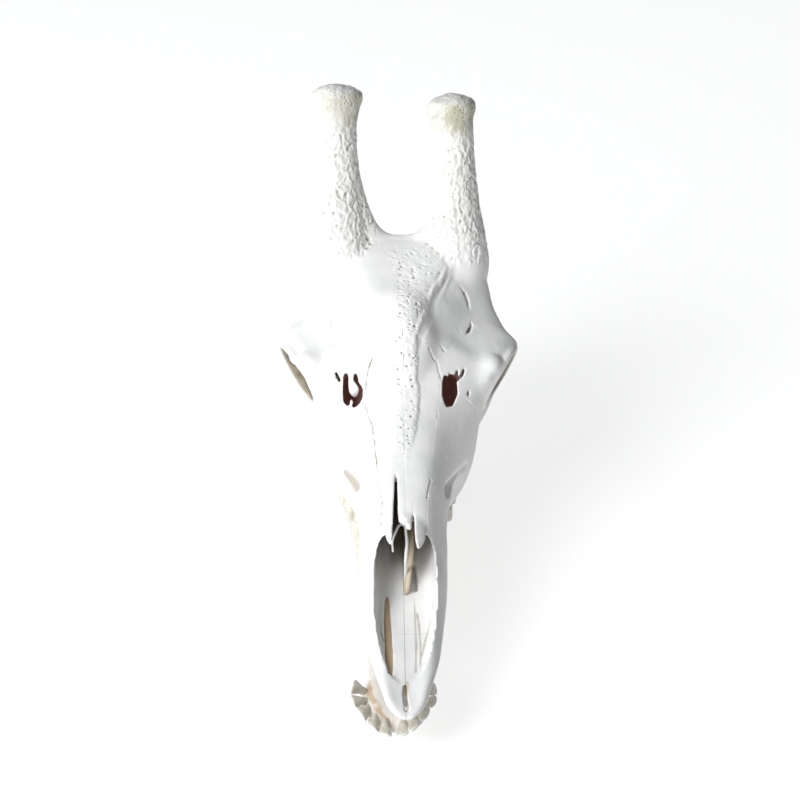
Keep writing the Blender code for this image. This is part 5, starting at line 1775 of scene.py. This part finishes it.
for name, bone in bones.items():
    applied(bone, "TRIANGULATE", "triangles")
    if len(bone.data.polygons) > MOST_TRIANGLES:
        applied(bone, "DECIMATE", "simple", ratio=MOST_TRIANGLES / len(bone.data.polygons))
    bone.name = f"{name}_bone"
    know(bone)
    look, slot = next(entry[1:] for entry in SLOTS if name.startswith(entry[0]))
    placed(bone, look)
    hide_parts(name)
placed(scroll, upper_look)
placed(strip, brown_shade_look)
for tooth in list(teeth.objects):
    placed(tooth, tooth_look)

# %% [markdown]
# ## Floor and light
#
# The photograph has a plain white ground and light from the upper left, so bright that the bone burns out on
# that side. The floor glows by itself and reflects little: it stays white in the skull's own shadow, and no
# more light bounces from it than the shaded side of the bone needs. The sky is brightest near the lamp.

# %% Floor and light
FLOOR_SIZE = 30.0
FLOOR_GREY, FLOOR_GLOW = (0.42, 0.42, 0.42, 1.0), 0.76
SKY_WAY = (-0.80, -0.35, 0.49)
SKY_DARK, SKY_BRIGHT = 0.02, 0.60
SKY_START = -0.1
SKY_COLOUR = (0.92, 0.96, 1.0, 1.0)
KEY_PLACE, KEY_AIM = (-1.75, -1.6, 1.95), (0.0, 0.0, 0.25)
KEY_SIZE, KEY_POWER = 1.6, 92.0

scene = bpy.context.scene
scene.view_settings.view_transform = "Standard"
bpy.ops.mesh.primitive_plane_add(size=FLOOR_SIZE)
floor = bpy.context.object
floor.name = "floor"
floor_look = Look("floor", 0.9)
floor_look.shader.inputs["Base Color"].default_value = FLOOR_GREY
floor_look.shader.inputs["Emission Color"].default_value = (1.0, 1.0, 1.0, 1.0)
floor_look.shader.inputs["Emission Strength"].default_value = FLOOR_GLOW
floor.data.materials.append(floor_look.material)
world = bpy.data.worlds.new("studio")
scene.world = world
world.use_nodes = True
sky = world.node_tree
way = sky.nodes.new("ShaderNodeTexCoord")
facing = sky.nodes.new("ShaderNodeVectorMath")
facing.operation = "DOT_PRODUCT"
facing.inputs[1].default_value = SKY_WAY
amount = sky.nodes.new("ShaderNodeMapRange")
amount.inputs["From Min"].default_value = SKY_START
amount.inputs["From Max"].default_value = 1.0
amount.inputs["To Min"].default_value = SKY_DARK
amount.inputs["To Max"].default_value = SKY_BRIGHT
sky.links.new(way.outputs["Generated"], facing.inputs[0])
sky.links.new(facing.outputs["Value"], amount.inputs["Value"])
sky.links.new(amount.outputs[0], sky.nodes["Background"].inputs["Strength"])
sky.nodes["Background"].inputs["Color"].default_value = SKY_COLOUR
key = bpy.data.lights.new("key", "AREA")
key.shape = "SQUARE"
key.size = KEY_SIZE
key.energy = KEY_POWER
lamp = bpy.data.objects.new("key", key)
scene.collection.objects.link(lamp)
lamp.location = KEY_PLACE
lamp.rotation_euler = (Vector(KEY_AIM) - Vector(KEY_PLACE)).to_track_quat("-Z", "Y").to_euler()
print("key light at", KEY_PLACE, "with", KEY_POWER, "W")
